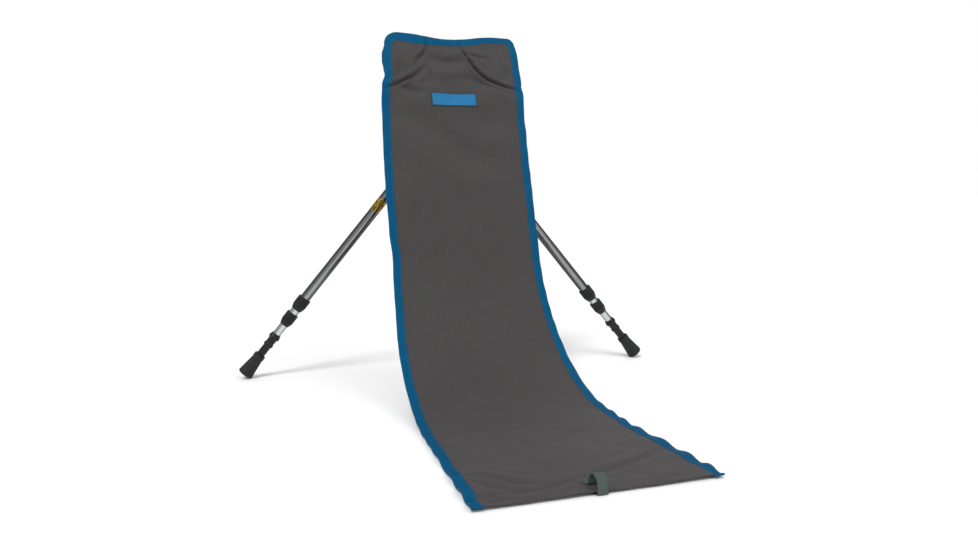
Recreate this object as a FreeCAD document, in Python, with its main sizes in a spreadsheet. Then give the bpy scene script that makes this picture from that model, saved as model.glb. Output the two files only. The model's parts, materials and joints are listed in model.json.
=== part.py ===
import FreeCAD, Part
import math
import os

import Sketcher
from FreeCAD import Placement, Rotation, Vector

# Ultralight backpacking chair: a cloth sling hung on two crossed trekking poles.
# Millimetres. +Z is up and the chair faces -Y. The drawing frame has its origin on the floor under
# the top edge of the back; everything is moved along Y at the end, to centre the chair.

doc = FreeCAD.newDocument("backpacking_chair")
sheet = doc.addObject("Spreadsheet::Sheet", "dims")

SIZES = {
    # the sling, as it hangs
    "back_height": 594,       # floor to the top edge
    "back_reach": 356,        # from the line where the cloth meets the floor back to the top edge
    "back_lean": 12,          # degrees from upright, upper part of the back
    "seat_flat": 208,         # cloth that lies flat on the floor
    "top_width": 238,
    "front_width": 292,
    "cloth": 1.2,             # body cloth with its lining
    "margin": 20,             # by which a cutting shape passes what it cuts
    "plan_past": 3.6,         # by which the plan outline passes the top edge
    "binding_width": 12.5,    # half of a 25 tape folded over the edge
    "binding_thick": 2.6,
    "hem_depth": 22,
    "hem_thick": 2.4,
    # the loop that ties the rolled sling
    "loop_tape": 13,          # width of the tape
    "loop_span": 26,          # front to back, outside
    "loop_height": 16,
    "loop_thick": 1.6,
    "loop_set_back": 2,       # from the middle of the hem
    # the label on the front of the back
    "label_width": 80,
    "label_height": 26,
    "label_thick": 0.8,
    "label_drop": 115,        # top edge to the middle of the label, along the cloth
    # pockets and strap on the rear of the back
    "pocket_depth": 45,       # how far a grip goes in
    "pocket_room": 1.5,       # round the grip
    "pocket_wall": 1.4,
    "pocket_end_gap": 2,      # past the end of the grip
    "strap_tape": 25,         # height of the strap
    "strap_wall": 1.5,
    "strap_room": 2,          # round the crossed tubes
    # where the poles stand
    "pole_length": 731,       # end of the rubber foot to end of the grip
    "grip_end_inset": 20,     # grip end in from the side edge at the top
    "grip_end_drop": 23,      # grip end below the top edge
    "front_grip_back": 14,    # grip end behind the top edge, pole nearer the cloth
    "rear_grip_back": 32,     # the same, pole behind it
    "front_foot_back": 0,     # foot behind the top edge, pole nearer the cloth
    "rear_foot_back": 71,
    # pole tubes
    "lower_radius": 7,
    "lower_wall": 1,
    "middle_wall": 0.92,
    "upper_wall": 0.92,
    "tube_run": 0.08,         # radial clearance between one tube and the next
    "lip_run": 0.3,           # radial clearance of a collar's lip
    # rubber foot
    "foot_length": 44,
    "foot_base_radius": 13.5,
    "foot_edge": 3,
    "foot_waist_wall": 2.4,   # beyond the ferrule's neck
    "foot_rim_wall": 3.2,
    "foot_rim_length": 8,
    "foot_rim_edge": 1,
    "foot_gap": 0.3,          # foot to the ferrule inside it
    "foot_floor": 3.5,        # rubber under the carbide tip
    "tip_gap": 0.5,           # rubber to tip
    # tip
    "tip_radius": 2,
    "tip_length": 12,
    "tip_bevel": 0.8,
    "tip_bevel_length": 1.2,
    "tip_seat": 5,            # how much of the tip is held in the ferrule
    # ferrule
    "ferrule_nose_radius": 4.5,
    "ferrule_neck_radius": 7,
    "ferrule_plug_step": 0.8, # neck down to the plug inside the foot
    "ferrule_bevel": 1,
    "ring_rise": 20,          # foot's rim to the ring
    "ring_length": 5,
    "ring_out": 1.6,          # beyond the neck
    "shank_step": 0.4,        # neck to the shank above the ring
    "shank_wall": 1.4,        # round the lower tube
    "flange_wall": 3,
    "flange_length": 9,
    "flange_rim": 3,
    "flange_lip": 1,          # wall at the ferrule's mouth
    "ferrule_length": 79,
    "ferrule_socket": 14,     # lower tube in the ferrule
    # collars and the tubes that show between them
    "lower_show": 20,         # lower tube that shows
    "middle_show": 8,         # middle tube that shows
    "collar_length": 26,
    "collar_lip": 4,
    "collar_wall": 3,         # round the outer tube of the two
    "collar_edge": 1.2,
    "collar_nose": 1.6,       # wall at the lip's open end
    "collar_taper": 11,       # length of the rounded lower end
    # inner lengths
    "middle_tube_gap": 122,   # top of the middle tube to the grip's cap
    "lower_tube_gap": 80,     # top of the lower tube to the top of the middle tube
    "expander_length": 30,
    "expander_gap": 0.4,      # tube end to expander
    "screw_plug": 15,
    "screw_radius": 3,
    "screw_length": 24,
    "screw_end_gap": 2,
    # ring mark on the upper tube
    "band_start": 367,        # from the end of the foot
    "band_length": 26,
    "band_thick": 0.25,
    # grip
    "grip_length": 96,
    "grip_wall": 6,           # foam round the tube at the head
    "root_wall": 2,           # at the lower end
    "root_bevel": 4,
    "root_length": 12,
    "root_flare": 1.6,
    "waist_wall": 4.8,
    "waist_start": 30,        # from the lower end
    "waist_end": 62,
    "waist_curve": 70,
    "head_length": 12,
    "head_edge": 1,
    "head_edge_length": 2,
    "head_curve": 2.5,
    "cap_height": 8,
    "cap_step": 0.5,          # cap in from the grip
    "cap_edge": 2,
}

for row, (name, size) in enumerate(SIZES.items(), 1):
    sheet.set("A%d" % row, str(size))
    sheet.setAlias("A%d" % row, name)
doc.recompute()


def value(expression):
    """The number that an expression on the sheet gives."""
    return float(sheet.evalExpression(expression))


# Expressions that several pieces share.
# The side view of the cloth is flat on the floor, then one arc, then straight up to the top edge.
ARC_RADIUS = ("((dims.back_reach * cos(dims.back_lean) - dims.back_height * sin(dims.back_lean))"
              " / (1 - sin(dims.back_lean)))")
ARC_BACK = "(%s * cos(dims.back_lean) - dims.back_reach)" % ARC_RADIUS
ARC_TOP = "(%s * (1 - sin(dims.back_lean)))" % ARC_RADIUS
STRAIGHT = "((dims.back_height - %s) / cos(dims.back_lean))" % ARC_TOP
ARC_LENGTH = "(%s * pi * (90 - dims.back_lean) / 180)" % ARC_RADIUS
CLOTH_LENGTH = "(%s + %s + dims.seat_flat)" % (STRAIGHT, ARC_LENGTH)
SEAT_FRONT = "(-dims.back_reach - dims.seat_flat)"

# Radii of the tubes: each runs in the bore of the next.
LOWER_BORE = "(dims.lower_radius - dims.lower_wall)"
MIDDLE_BORE = "(dims.lower_radius + dims.tube_run)"
MIDDLE_RADIUS = "(%s + dims.middle_wall)" % MIDDLE_BORE
UPPER_BORE = "(%s + dims.tube_run)" % MIDDLE_RADIUS
UPPER_RADIUS = "(%s + dims.upper_wall)" % UPPER_BORE
GRIP_RADIUS = "(%s + dims.grip_wall)" % UPPER_RADIUS

# Places along a pole, from the end of its rubber foot.
TIP_START = "(dims.foot_floor + dims.tip_gap)"
FERRULE_START = "(%s + dims.tip_length - dims.tip_seat)" % TIP_START
FERRULE_TOP = "(%s + dims.ferrule_length)" % FERRULE_START
MIDDLE_COLLAR = "(%s + dims.lower_show)" % FERRULE_TOP
MIDDLE_TUBE = "(%s + dims.collar_lip)" % MIDDLE_COLLAR
UPPER_COLLAR = "(%s + dims.collar_length + dims.middle_show)" % MIDDLE_COLLAR
UPPER_TUBE = "(%s + dims.collar_lip)" % UPPER_COLLAR
LOWER_TUBE = "(%s - dims.ferrule_socket)" % FERRULE_TOP
CAP_START = "(dims.pole_length - dims.cap_height)"
GRIP_START = "(%s - dims.grip_length)" % CAP_START
MIDDLE_TOP = "(%s - dims.middle_tube_gap)" % CAP_START
LOWER_TOP = "(%s - dims.lower_tube_gap)" % MIDDLE_TOP


def half_width(along):
    """Half the sling's width at a distance from its top edge, measured along the cloth."""
    return "((dims.top_width + (dims.front_width - dims.top_width) * %s / %s) / 2)" % (along, CLOTH_LENGTH)


def arc_between(start, stop, radius, turn):
    """The shorter arc from start to stop; turn is 1 for counter-clockwise, -1 for clockwise."""
    chord = stop - start
    reach = math.sqrt(max(radius ** 2 - chord.Length ** 2 / 4, 0))
    left = Vector(-chord.y, chord.x, 0).normalize()
    centre = (start + stop) * 0.5 + left * (reach * turn)
    first, last = (start, stop) if turn > 0 else (stop, start)
    angles = [math.atan2(p.y - centre.y, p.x - centre.x) for p in (first, last)]
    return Part.ArcOfCircle(Part.Circle(centre, Vector(0, 0, 1), radius), angles[0], angles[1])


def draw_outline(sketch, corners):
    """Draw a closed outline and bind it to the sheet. A corner is (across, up) in expressions; with
    (across, up, radius, turn), the edge after it is an arc."""
    points = [Vector(value(corner[0]), value(corner[1]), 0) for corner in corners]
    ends = []
    for number, corner in enumerate(corners):
        start, stop = points[number], points[(number + 1) % len(points)]
        if len(corner) == 2:
            edge = sketch.addGeometry(Part.LineSegment(start, stop))
            ends.append((edge, 1, 2))
            continue
        turn = corner[3]
        edge = sketch.addGeometry(arc_between(start, stop, value(corner[2]), turn))
        ends.append((edge, 1, 2) if turn > 0 else (edge, 2, 1))
        radius = sketch.addConstraint(Sketcher.Constraint("Radius", edge, value(corner[2])))
        sketch.setExpression("Constraints[%d]" % radius, corner[2])
    for number, (edge, first, last) in enumerate(ends):
        following, next_first, _ = ends[(number + 1) % len(ends)]
        sketch.addConstraint(Sketcher.Constraint("Coincident", edge, last, following, next_first))
        for kind, expression, axis in (("DistanceX", corners[number][0], -2),
                                       ("DistanceY", corners[number][1], -1)):
            if expression == "0":
                sketch.addConstraint(Sketcher.Constraint("PointOnObject", edge, first, axis))
                continue
            size = Sketcher.Constraint(kind, -1, 1, edge, first, value(expression))
            index = sketch.addConstraint(size)
            sketch.setExpression("Constraints[%d]" % index, expression)


def new_body(label):
    body = doc.addObject("PartDesign::Body", label)
    body.Label = label
    return body


def body_sketch(body, role, corners):
    """A sketch on one of the body's own origin planes."""
    plane = next(item for item in body.Origin.OriginFeatures if item.Role == role)
    sketch = body.newObject("Sketcher::SketchObject", body.Name + "_outline")
    sketch.AttachmentSupport = (plane, [""])
    sketch.MapMode = "FlatFace"
    draw_outline(sketch, corners)
    return sketch


def turned(label, corners):
    """A turned piece: corners are (radius, place along the axis)."""
    body = new_body(label)
    sketch = body_sketch(body, "XZ_Plane", corners)
    turn = body.newObject("PartDesign::Revolution", label + "_turn")
    turn.Profile = sketch
    turn.ReferenceAxis = (sketch, ["V_Axis"])
    turn.Angle = 360
    sketch.Visibility = False
    return body


def padded(label, role, corners, thickness, middle=False):
    """A flat outline with a thickness."""
    body = new_body(label)
    sketch = body_sketch(body, role, corners)
    pad = body.newObject("PartDesign::Pad", label + "_pad")
    pad.Profile = sketch
    pad.Midplane = middle
    pad.setExpression("Length", thickness)
    return body


def free_sketch(name, rotation, corners):
    sketch = doc.addObject("Sketcher::SketchObject", name)
    sketch.Placement = Placement(Vector(), rotation)
    draw_outline(sketch, corners)
    return sketch


def extruded(name, sketch, length, symmetric):
    solid = doc.addObject("Part::Extrusion", name)
    solid.Base = sketch
    solid.DirMode = "Normal"
    solid.Solid = True
    solid.Symmetric = symmetric
    solid.setExpression("LengthFwd", length)
    return solid


SIDE_VIEW = Rotation(Vector(1, 1, 1), 120)
PLAN_VIEW = Rotation()


def side_outline(thickness):
    """The back in side view: across is Y, up is Z. Its rear and under face is the arc and line."""
    inner = "(%s - %s)" % (ARC_RADIUS, thickness)
    shift_back = "(%s * cos(dims.back_lean))" % thickness
    shift_up = "(%s * sin(dims.back_lean))" % thickness
    return [
        ("-dims.back_reach", "0", ARC_RADIUS, 1),
        (ARC_BACK, ARC_TOP),
        ("0", "dims.back_height"),
        ("-%s" % shift_back, "dims.back_height + %s" % shift_up),
        ("%s - %s" % (ARC_BACK, shift_back), "%s + %s" % (ARC_TOP, shift_up), inner, -1),
        ("-dims.back_reach", thickness),
    ]


def edge_line(inset, side):
    """Points along a side edge of the back in plan, from the floor line to the top: (x, y)."""
    stations = [
        (CLOTH_LENGTH + " - dims.seat_flat", "-dims.back_reach"),
        (STRAIGHT, ARC_BACK),
        ("0", "dims.plan_past"),
    ]
    sign = "-" if side < 0 else ""
    return [("%s(%s - %s)" % (sign, half_width("(%s)" % along), inset), back) for along, back in stations]


def back_strip(label, thickness, left, right):
    """A strip of the back between two plan lines, as thick as asked."""
    side = free_sketch(label + "_side", SIDE_VIEW, side_outline(thickness))
    plan = free_sketch(label + "_plan", PLAN_VIEW, left + right[::-1])
    width = extruded(label + "_width", side, "dims.front_width + dims.margin", True)
    height = extruded(label + "_height", plan, "dims.back_height + dims.margin", False)
    strip = doc.addObject("Part::Common", label)
    strip.Base = width
    strip.Tool = height
    strip.Label = label
    return strip


# --- the sling -------------------------------------------------------------------------------

INNER = "dims.binding_width"


def seat_pieces():
    """Cloth, side bindings and front hem of the part that lies on the floor."""
    at_line = half_width("(%s - dims.seat_flat)" % CLOTH_LENGTH)
    at_hem = half_width("(%s - dims.hem_depth)" % CLOTH_LENGTH)
    at_front = half_width(CLOTH_LENGTH)
    line, hem, front = "-dims.back_reach", "%s + dims.hem_depth" % SEAT_FRONT, SEAT_FRONT
    cloth = [("-(%s - %s)" % (at_hem, INNER), hem), ("%s - %s" % (at_hem, INNER), hem),
             ("%s - %s" % (at_line, INNER), line), ("-(%s - %s)" % (at_line, INNER), line)]
    turned_hem = [("-(%s - %s)" % (at_front, INNER), front), ("%s - %s" % (at_front, INNER), front),
                  ("%s - %s" % (at_hem, INNER), hem), ("-(%s - %s)" % (at_hem, INNER), hem)]
    left = [("-%s" % at_front, front), ("-(%s - %s)" % (at_front, INNER), front),
            ("-(%s - %s)" % (at_line, INNER), line), ("-%s" % at_line, line)]
    right = [(at_front, front), (at_line, line),
             ("%s - %s" % (at_line, INNER), line), ("%s - %s" % (at_front, INNER), front)]
    return [
        padded("seat_panel", "XY_Plane", cloth, "dims.cloth"),
        padded("front_hem", "XY_Plane", turned_hem, "dims.hem_thick"),
        padded("seat_binding_left", "XY_Plane", left, "dims.binding_thick"),
        padded("seat_binding_right", "XY_Plane", right, "dims.binding_thick"),
    ]


def back_pieces():
    """Cloth and bindings of the back. The cloth stops below the top binding."""
    cloth = back_strip("back_cloth", "dims.cloth", edge_line(INNER, -1), edge_line(INNER, 1))
    across = back_strip("top_strip", "dims.binding_thick", edge_line(INNER, -1), edge_line(INNER, 1))
    limit = doc.addObject("Part::Box", "top_zone")
    limit.setExpression("Length", "dims.front_width + 2 * dims.margin")
    limit.setExpression("Width", "dims.back_reach")
    limit.setExpression("Height", "dims.back_height")
    zone = Placement(Vector(0, 0, value("dims.back_height")), Rotation(Vector(1, 0, 0), -value("dims.back_lean")))
    down = value("dims.binding_width")
    corner = Vector(-value("dims.front_width / 2 + dims.margin"), -value("dims.back_reach / 2"), -down)
    limit.Placement = zone.multiply(Placement(corner, Rotation()))
    panel = doc.addObject("Part::Cut", "back_panel")
    panel.Base, panel.Tool = cloth, limit
    binding = doc.addObject("Part::Common", "top_binding")
    binding.Base, binding.Tool = across, limit
    for piece in (panel, binding):
        piece.Label = piece.Name
    left = back_strip("back_binding_left", "dims.binding_thick", edge_line("0", -1), edge_line(INNER, -1))
    right = back_strip("back_binding_right", "dims.binding_thick", edge_line(INNER, 1), edge_line("0", 1))
    return [panel, binding, left, right]


def rollup_loop():
    """A tape arch on the front hem, open from side to side."""
    bend = "(dims.loop_span / 2)"
    inner_bend = "(dims.loop_span / 2 - dims.loop_thick)"
    shoulder = "(dims.loop_height - %s)" % bend
    outline = [
        ("0", "0"), ("dims.loop_thick", "0"), ("dims.loop_thick", shoulder, inner_bend, -1),
        (bend, "%s + %s" % (shoulder, inner_bend), inner_bend, -1),
        ("dims.loop_span - dims.loop_thick", shoulder), ("dims.loop_span - dims.loop_thick", "0"),
        ("dims.loop_span", "0"), ("dims.loop_span", shoulder, bend, 1),
        (bend, "dims.loop_height", bend, 1), ("0", shoulder),
    ]
    body = padded("rollup_loop", "YZ_Plane", outline, "dims.loop_tape", middle=True)
    front = value(SEAT_FRONT + " + (dims.hem_depth - dims.loop_span) / 2 + dims.loop_set_back")
    body.Placement = Placement(Vector(0, front, value("dims.hem_thick")), Rotation())
    return body


def label_patch():
    """A plain cloth label on the front face of the back."""
    patch = doc.addObject("Part::Box", "label_patch")
    patch.Label = "label_patch"
    patch.setExpression("Length", "dims.label_width")
    patch.setExpression("Width", "dims.label_thick")
    patch.setExpression("Height", "dims.label_height")
    corner = Vector(-value("dims.label_width / 2"), -value("dims.cloth + dims.label_thick"),
                    -value("dims.label_drop + dims.label_height / 2"))
    patch.Placement = back_frame().multiply(Placement(corner, Rotation()))
    return patch


def back_frame():
    """At the middle of the top edge; X across, Z up the cloth, -Y out of its front face."""
    lean = Rotation(Vector(1, 0, 0), -value("dims.back_lean"))
    return Placement(Vector(0, 0, value("dims.back_height")), lean)


# --- the poles -------------------------------------------------------------------------------

def pole_placement(side, grip_back, foot_back):
    """Stand a pole's axis so that its rubber foot just meets the floor. side is the foot's side."""
    length, top = value("dims.pole_length"), value("dims.back_height - dims.grip_end_drop")
    base, edge = value("dims.foot_base_radius"), value("dims.foot_edge")

    def too_high(tilt):
        foot = (base - edge) * math.sin(tilt) + edge * (1 - math.cos(tilt))
        return foot + length * math.cos(tilt) - top

    low, high = 0.0, math.pi / 2
    for _ in range(60):
        middle = (low + high) / 2
        low, high = (middle, high) if too_high(middle) > 0 else (low, middle)
    run = length * math.sin(low)
    across = math.sqrt(run ** 2 - (foot_back - grip_back) ** 2)
    grip = Vector(-side * value("dims.top_width / 2 - dims.grip_end_inset"), grip_back, top)
    foot = Vector(grip.x + side * across, foot_back, top - length * math.cos(low))
    return Placement(foot, Rotation(Vector(0, 0, 1), grip - foot))


def pole_pieces(name):
    """One three-section pole, along its own +Z from the end of its rubber foot."""
    plug = "(dims.ferrule_neck_radius - dims.ferrule_plug_step)"
    rim = "(dims.ferrule_neck_radius + dims.foot_rim_wall)"
    waist = "(dims.ferrule_neck_radius + dims.foot_waist_wall)"
    ring = "(dims.ferrule_neck_radius + dims.ring_out)"
    ring_start = "(dims.foot_length + dims.ring_rise)"
    ring_stop = "(%s + dims.ring_length)" % ring_start
    flange = "(dims.lower_radius + dims.flange_wall)"
    flange_start = "(%s - dims.flange_length)" % FERRULE_TOP
    band = "(%s + dims.band_thick)" % UPPER_RADIUS
    cap = "(%s - dims.cap_step)" % GRIP_RADIUS
    pieces = [
        turned(name + "_rubber_foot", [
            ("0", "0"), ("dims.foot_base_radius - dims.foot_edge", "0", "dims.foot_edge", 1),
            ("dims.foot_base_radius", "dims.foot_edge"),
            (waist, "dims.foot_length - dims.foot_rim_length"),
            (rim, "dims.foot_length - dims.foot_rim_length + dims.foot_rim_edge"),
            (rim, "dims.foot_length - dims.foot_rim_edge", "dims.foot_rim_edge", 1),
            (rim + " - dims.foot_rim_edge", "dims.foot_length"),
            (plug + " + dims.foot_gap", "dims.foot_length"),
            ("dims.ferrule_nose_radius + dims.foot_gap", FERRULE_START + " - dims.foot_gap"),
            ("dims.tip_radius + dims.foot_gap", FERRULE_START + " - dims.foot_gap"),
            ("dims.tip_radius + dims.foot_gap", "dims.foot_floor"), ("0", "dims.foot_floor")]),
        turned(name + "_carbide_tip", [
            ("0", TIP_START), ("dims.tip_radius - dims.tip_bevel", TIP_START),
            ("dims.tip_radius", TIP_START + " + dims.tip_bevel_length"),
            ("dims.tip_radius", TIP_START + " + dims.tip_length"),
            ("0", TIP_START + " + dims.tip_length")]),
        turned(name + "_ferrule", [
            ("dims.tip_radius", FERRULE_START), ("dims.ferrule_nose_radius", FERRULE_START),
            (plug, "dims.foot_length"),
            ("dims.ferrule_neck_radius", "dims.foot_length + dims.ferrule_bevel"),
            ("dims.ferrule_neck_radius", ring_start),
            (ring, ring_start + " + dims.ferrule_bevel"), (ring, ring_stop),
            ("dims.ferrule_neck_radius + dims.shank_step", ring_stop + " + dims.ferrule_bevel"),
            ("dims.lower_radius + dims.shank_wall", flange_start + " - dims.ferrule_bevel"),
            (flange, flange_start), (flange, flange_start + " + dims.flange_rim"),
            ("dims.lower_radius + dims.flange_lip", FERRULE_TOP), ("dims.lower_radius", FERRULE_TOP),
            ("dims.lower_radius", LOWER_TUBE), ("0", LOWER_TUBE),
            ("0", TIP_START + " + dims.tip_length"), ("dims.tip_radius", TIP_START + " + dims.tip_length")]),
        turned(name + "_lower_tube", [
            (LOWER_BORE, LOWER_TUBE), ("dims.lower_radius", LOWER_TUBE),
            ("dims.lower_radius", LOWER_TOP), (LOWER_BORE, LOWER_TOP)]),
        turned(name + "_middle_collar", collar_outline(MIDDLE_COLLAR, "dims.lower_radius", MIDDLE_RADIUS)),
        turned(name + "_middle_tube", [
            (MIDDLE_BORE, MIDDLE_TUBE), (MIDDLE_RADIUS, MIDDLE_TUBE),
            (MIDDLE_RADIUS, MIDDLE_TOP), (MIDDLE_BORE, MIDDLE_TOP)]),
        turned(name + "_upper_collar", collar_outline(UPPER_COLLAR, MIDDLE_RADIUS, UPPER_RADIUS)),
        turned(name + "_upper_tube", [
            (UPPER_BORE, UPPER_TUBE), (UPPER_RADIUS, UPPER_TUBE),
            (UPPER_RADIUS, CAP_START), (UPPER_BORE, CAP_START)]),
        turned(name + "_tube_band", [
            (UPPER_RADIUS, "dims.band_start"), (band, "dims.band_start"),
            (band, "dims.band_start + dims.band_length"),
            (UPPER_RADIUS, "dims.band_start + dims.band_length")]),
        turned(name + "_grip", grip_outline()),
        turned(name + "_grip_cap", [
            ("0", CAP_START), (cap, CAP_START),
            (cap, CAP_START + " + dims.cap_edge", GRIP_RADIUS, 1),
            (GRIP_RADIUS + " / 2", "dims.pole_length"), ("0", "dims.pole_length")]),
    ]
    pieces += lock_pieces(name + "_upper", MIDDLE_TOP, MIDDLE_BORE, MIDDLE_RADIUS)
    pieces += lock_pieces(name + "_lower", LOWER_TOP, LOWER_BORE, "dims.lower_radius")
    return pieces


def collar_outline(start, small, large):
    """A plastic collar: a lip that guides the inner tube, then a socket on the outer tube's end."""
    outside = large + " + dims.collar_wall"
    stop = start + " + dims.collar_length"
    shelf = start + " + dims.collar_lip"
    nose = small + " + dims.collar_nose"
    return [
        (small + " + dims.lip_run", start), (nose, start, "dims.collar_length", 1),
        (outside, start + " + dims.collar_taper"),
        (outside, stop + " - dims.collar_edge", "dims.collar_edge", 1),
        (outside + " - dims.collar_edge", stop), (large, stop), (large, shelf),
        (small + " + dims.lip_run", shelf)]


def lock_pieces(name, tube_end, bore, expander_radius):
    """The twist lock in a tube's end: a screw fixed in the tube, and an expander that it spreads."""
    screw = turned(name + "_lock_screw", [
        ("0", tube_end + " - dims.screw_plug"), (bore, tube_end + " - dims.screw_plug"),
        (bore, tube_end), ("dims.screw_radius", tube_end),
        ("dims.screw_radius", tube_end + " + dims.screw_length"), ("0", tube_end + " + dims.screw_length")])
    start = tube_end + " + dims.expander_gap"
    hole = "dims.screw_radius + dims.tube_run"
    bottom = tube_end + " + dims.screw_length + dims.screw_end_gap"
    expander = turned(name + "_expander", [
        (hole, start), (expander_radius, start), (expander_radius, start + " + dims.expander_length"),
        ("0", start + " + dims.expander_length"),
        ("0", bottom), (hole, bottom)])
    return [screw, expander]


def grip_outline():
    """A foam grip with a flared root, a waist and a fuller head, on the upper tube."""
    root = UPPER_RADIUS + " + dims.root_wall"
    waist = UPPER_RADIUS + " + dims.waist_wall"
    return [
        (UPPER_RADIUS, GRIP_START), (root, GRIP_START),
        (root + " + dims.root_flare", GRIP_START + " + dims.root_bevel"),
        (root + " + dims.root_flare", GRIP_START + " + dims.root_length"),
        (waist, GRIP_START + " + dims.waist_start", "dims.waist_curve", -1),
        (waist, GRIP_START + " + dims.waist_end"),
        (GRIP_RADIUS, CAP_START + " - dims.head_length"),
        (GRIP_RADIUS, CAP_START + " - dims.head_edge_length", "dims.head_curve", 1),
        (GRIP_RADIUS + " - dims.head_edge", CAP_START), (UPPER_RADIUS, CAP_START)]


# --- covers on the rear of the back ----------------------------------------------------------

def behind_back(shape):
    """The part of a shape that lies behind the cloth's rear face."""
    span = 4 * value("dims.back_height")
    front = Part.makeBox(span, span, span, Vector(-span / 2, -span, -span / 2))
    front.Placement = back_frame()
    return shape.cut(front)


def cover(label, outer, inner, placement):
    """A cloth cover with the back's own cloth as its front wall."""
    outer.Placement = placement
    inner.Placement = placement
    piece = doc.addObject("Part::Feature", label)
    piece.Label = label
    piece.Shape = behind_back(outer.cut(inner))
    return piece


def pole_pocket(label, axis):
    """A pocket round a grip's end, open down the pole. It is drawn along the pole."""
    half = value(GRIP_RADIUS + " + dims.pocket_room")
    wall = value("dims.pocket_wall")
    mouth = value("dims.pole_length - dims.pocket_depth")
    end = value("dims.pole_length + dims.pocket_end_gap")
    toward_cloth = value("dims.back_reach") / 4
    outer = Part.makeBox(2 * (half + wall), toward_cloth + half + wall, end + wall - mouth,
                         Vector(-half - wall, -toward_cloth, mouth))
    inner = Part.makeBox(2 * half, toward_cloth + half, end - mouth + wall,
                         Vector(-half, -toward_cloth, mouth - wall))
    return cover(label, outer, inner, upright_on(axis))


def upright_on(axis):
    """A frame on a pole's axis whose +Y is as near to the chair's +Y as the axis lets it be."""
    along = axis.Rotation.multVec(Vector(0, 0, 1))
    back = Vector(0, 1, 0) - along * along.y
    back.normalize()
    across = back.cross(along)
    return Placement(axis.Base, Rotation(across, back, along, "ZYX"))


def pole_strap(front_axis, rear_axis):
    """A strap round both poles where they cross, sewn to the rear of the cloth."""
    def at_middle(axis):
        along = axis.Rotation.multVec(Vector(0, 0, 1))
        return axis.Base - along * (axis.Base.x / along.x), along
    (near, lean), (far, _) = at_middle(front_axis), at_middle(rear_axis)
    tube, tape = value(UPPER_RADIUS), value("dims.strap_tape")
    room, wall = value("dims.strap_room"), value("dims.strap_wall")
    half = tape / 2 * abs(lean.x / lean.z) + tube / lean.z + room
    low = (near.z + far.z) / 2 - tape / 2
    back = far.y + tube + room
    toward_cloth = value("dims.back_reach") / 4
    outer = Part.makeBox(2 * (half + wall), toward_cloth + back + wall, tape,
                         Vector(-half - wall, -toward_cloth, low))
    inner = Part.makeBox(2 * half, toward_cloth + back, 3 * tape, Vector(-half, -toward_cloth, low - tape))
    return cover("pole_strap", outer, inner, Placement())


# --- the chair -------------------------------------------------------------------------------

LEFT_AXIS = pole_placement(-1, value("dims.rear_grip_back"), value("dims.rear_foot_back"))
RIGHT_AXIS = pole_placement(1, value("dims.front_grip_back"), value("dims.front_foot_back"))

subparts = seat_pieces() + back_pieces() + [rollup_loop(), label_patch()]
for side_name, axis in (("left", LEFT_AXIS), ("right", RIGHT_AXIS)):
    pole = pole_pieces(side_name)
    for piece in pole:
        piece.Placement = axis
    subparts += pole
subparts.append(pole_pocket("right_pocket", LEFT_AXIS))
subparts.append(pole_pocket("left_pocket", RIGHT_AXIS))
subparts.append(pole_strap(RIGHT_AXIS, LEFT_AXIS))
doc.recompute()

# Centre the chair along Y.
box = FreeCAD.BoundBox()
for piece in subparts:
    box.add(piece.Shape.optimalBoundingBox(False, False))
CENTRE = Vector(0, -(box.YMin + box.YMax) / 2, 0)
for piece in subparts:
    moved = Placement(CENTRE, Rotation()).multiply(piece.Placement)
    piece.Placement = moved

doc.recompute()
for item in doc.Objects:
    if "Invalid" in item.State or "Error" in item.State:
        raise RuntimeError("%s failed: %s" % (item.Name, item.State))
os.makedirs("parts", exist_ok=True)
for piece in subparts:
    shape = piece.Shape
    if shape.isNull() or not shape.isValid() or not shape.Solids:
        raise RuntimeError("%s has no valid solid" % piece.Label)
for piece in subparts:
    piece.Shape.exportStep("parts/%s.step" % piece.Label)
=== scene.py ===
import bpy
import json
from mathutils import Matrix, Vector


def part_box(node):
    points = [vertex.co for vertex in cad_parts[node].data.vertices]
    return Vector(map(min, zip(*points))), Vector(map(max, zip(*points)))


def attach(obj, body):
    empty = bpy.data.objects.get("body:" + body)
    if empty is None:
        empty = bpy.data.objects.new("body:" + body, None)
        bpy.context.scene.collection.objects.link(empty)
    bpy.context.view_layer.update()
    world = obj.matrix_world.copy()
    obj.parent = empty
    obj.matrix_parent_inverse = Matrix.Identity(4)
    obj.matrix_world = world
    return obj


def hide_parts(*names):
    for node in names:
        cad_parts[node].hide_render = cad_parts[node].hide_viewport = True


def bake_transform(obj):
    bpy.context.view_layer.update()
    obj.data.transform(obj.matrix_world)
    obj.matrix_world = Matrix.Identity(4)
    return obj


bl_info = {
    "name": "Backpacking chair",
    "version": (1, 0, 0),
    "blender": (4, 5, 0),
    "location": "3D View > Sidebar > Chair",
    "description": "Cloth sling, bindings, pockets and poles of a light ground chair, built round its frame",
    "category": "Add Mesh",
}

import json
import math

import bmesh
import bpy
import numpy as np
from bpy.props import FloatProperty, FloatVectorProperty, IntProperty, PointerProperty
from mathutils import Matrix, Vector

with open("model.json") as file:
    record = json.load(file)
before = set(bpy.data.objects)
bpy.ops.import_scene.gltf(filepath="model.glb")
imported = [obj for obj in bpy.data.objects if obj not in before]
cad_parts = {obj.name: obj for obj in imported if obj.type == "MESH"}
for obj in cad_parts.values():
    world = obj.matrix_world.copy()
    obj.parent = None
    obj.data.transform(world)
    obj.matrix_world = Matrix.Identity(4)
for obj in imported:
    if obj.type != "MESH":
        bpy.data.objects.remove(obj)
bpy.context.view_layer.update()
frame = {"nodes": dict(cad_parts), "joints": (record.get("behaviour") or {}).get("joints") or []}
MM = 0.001

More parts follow.
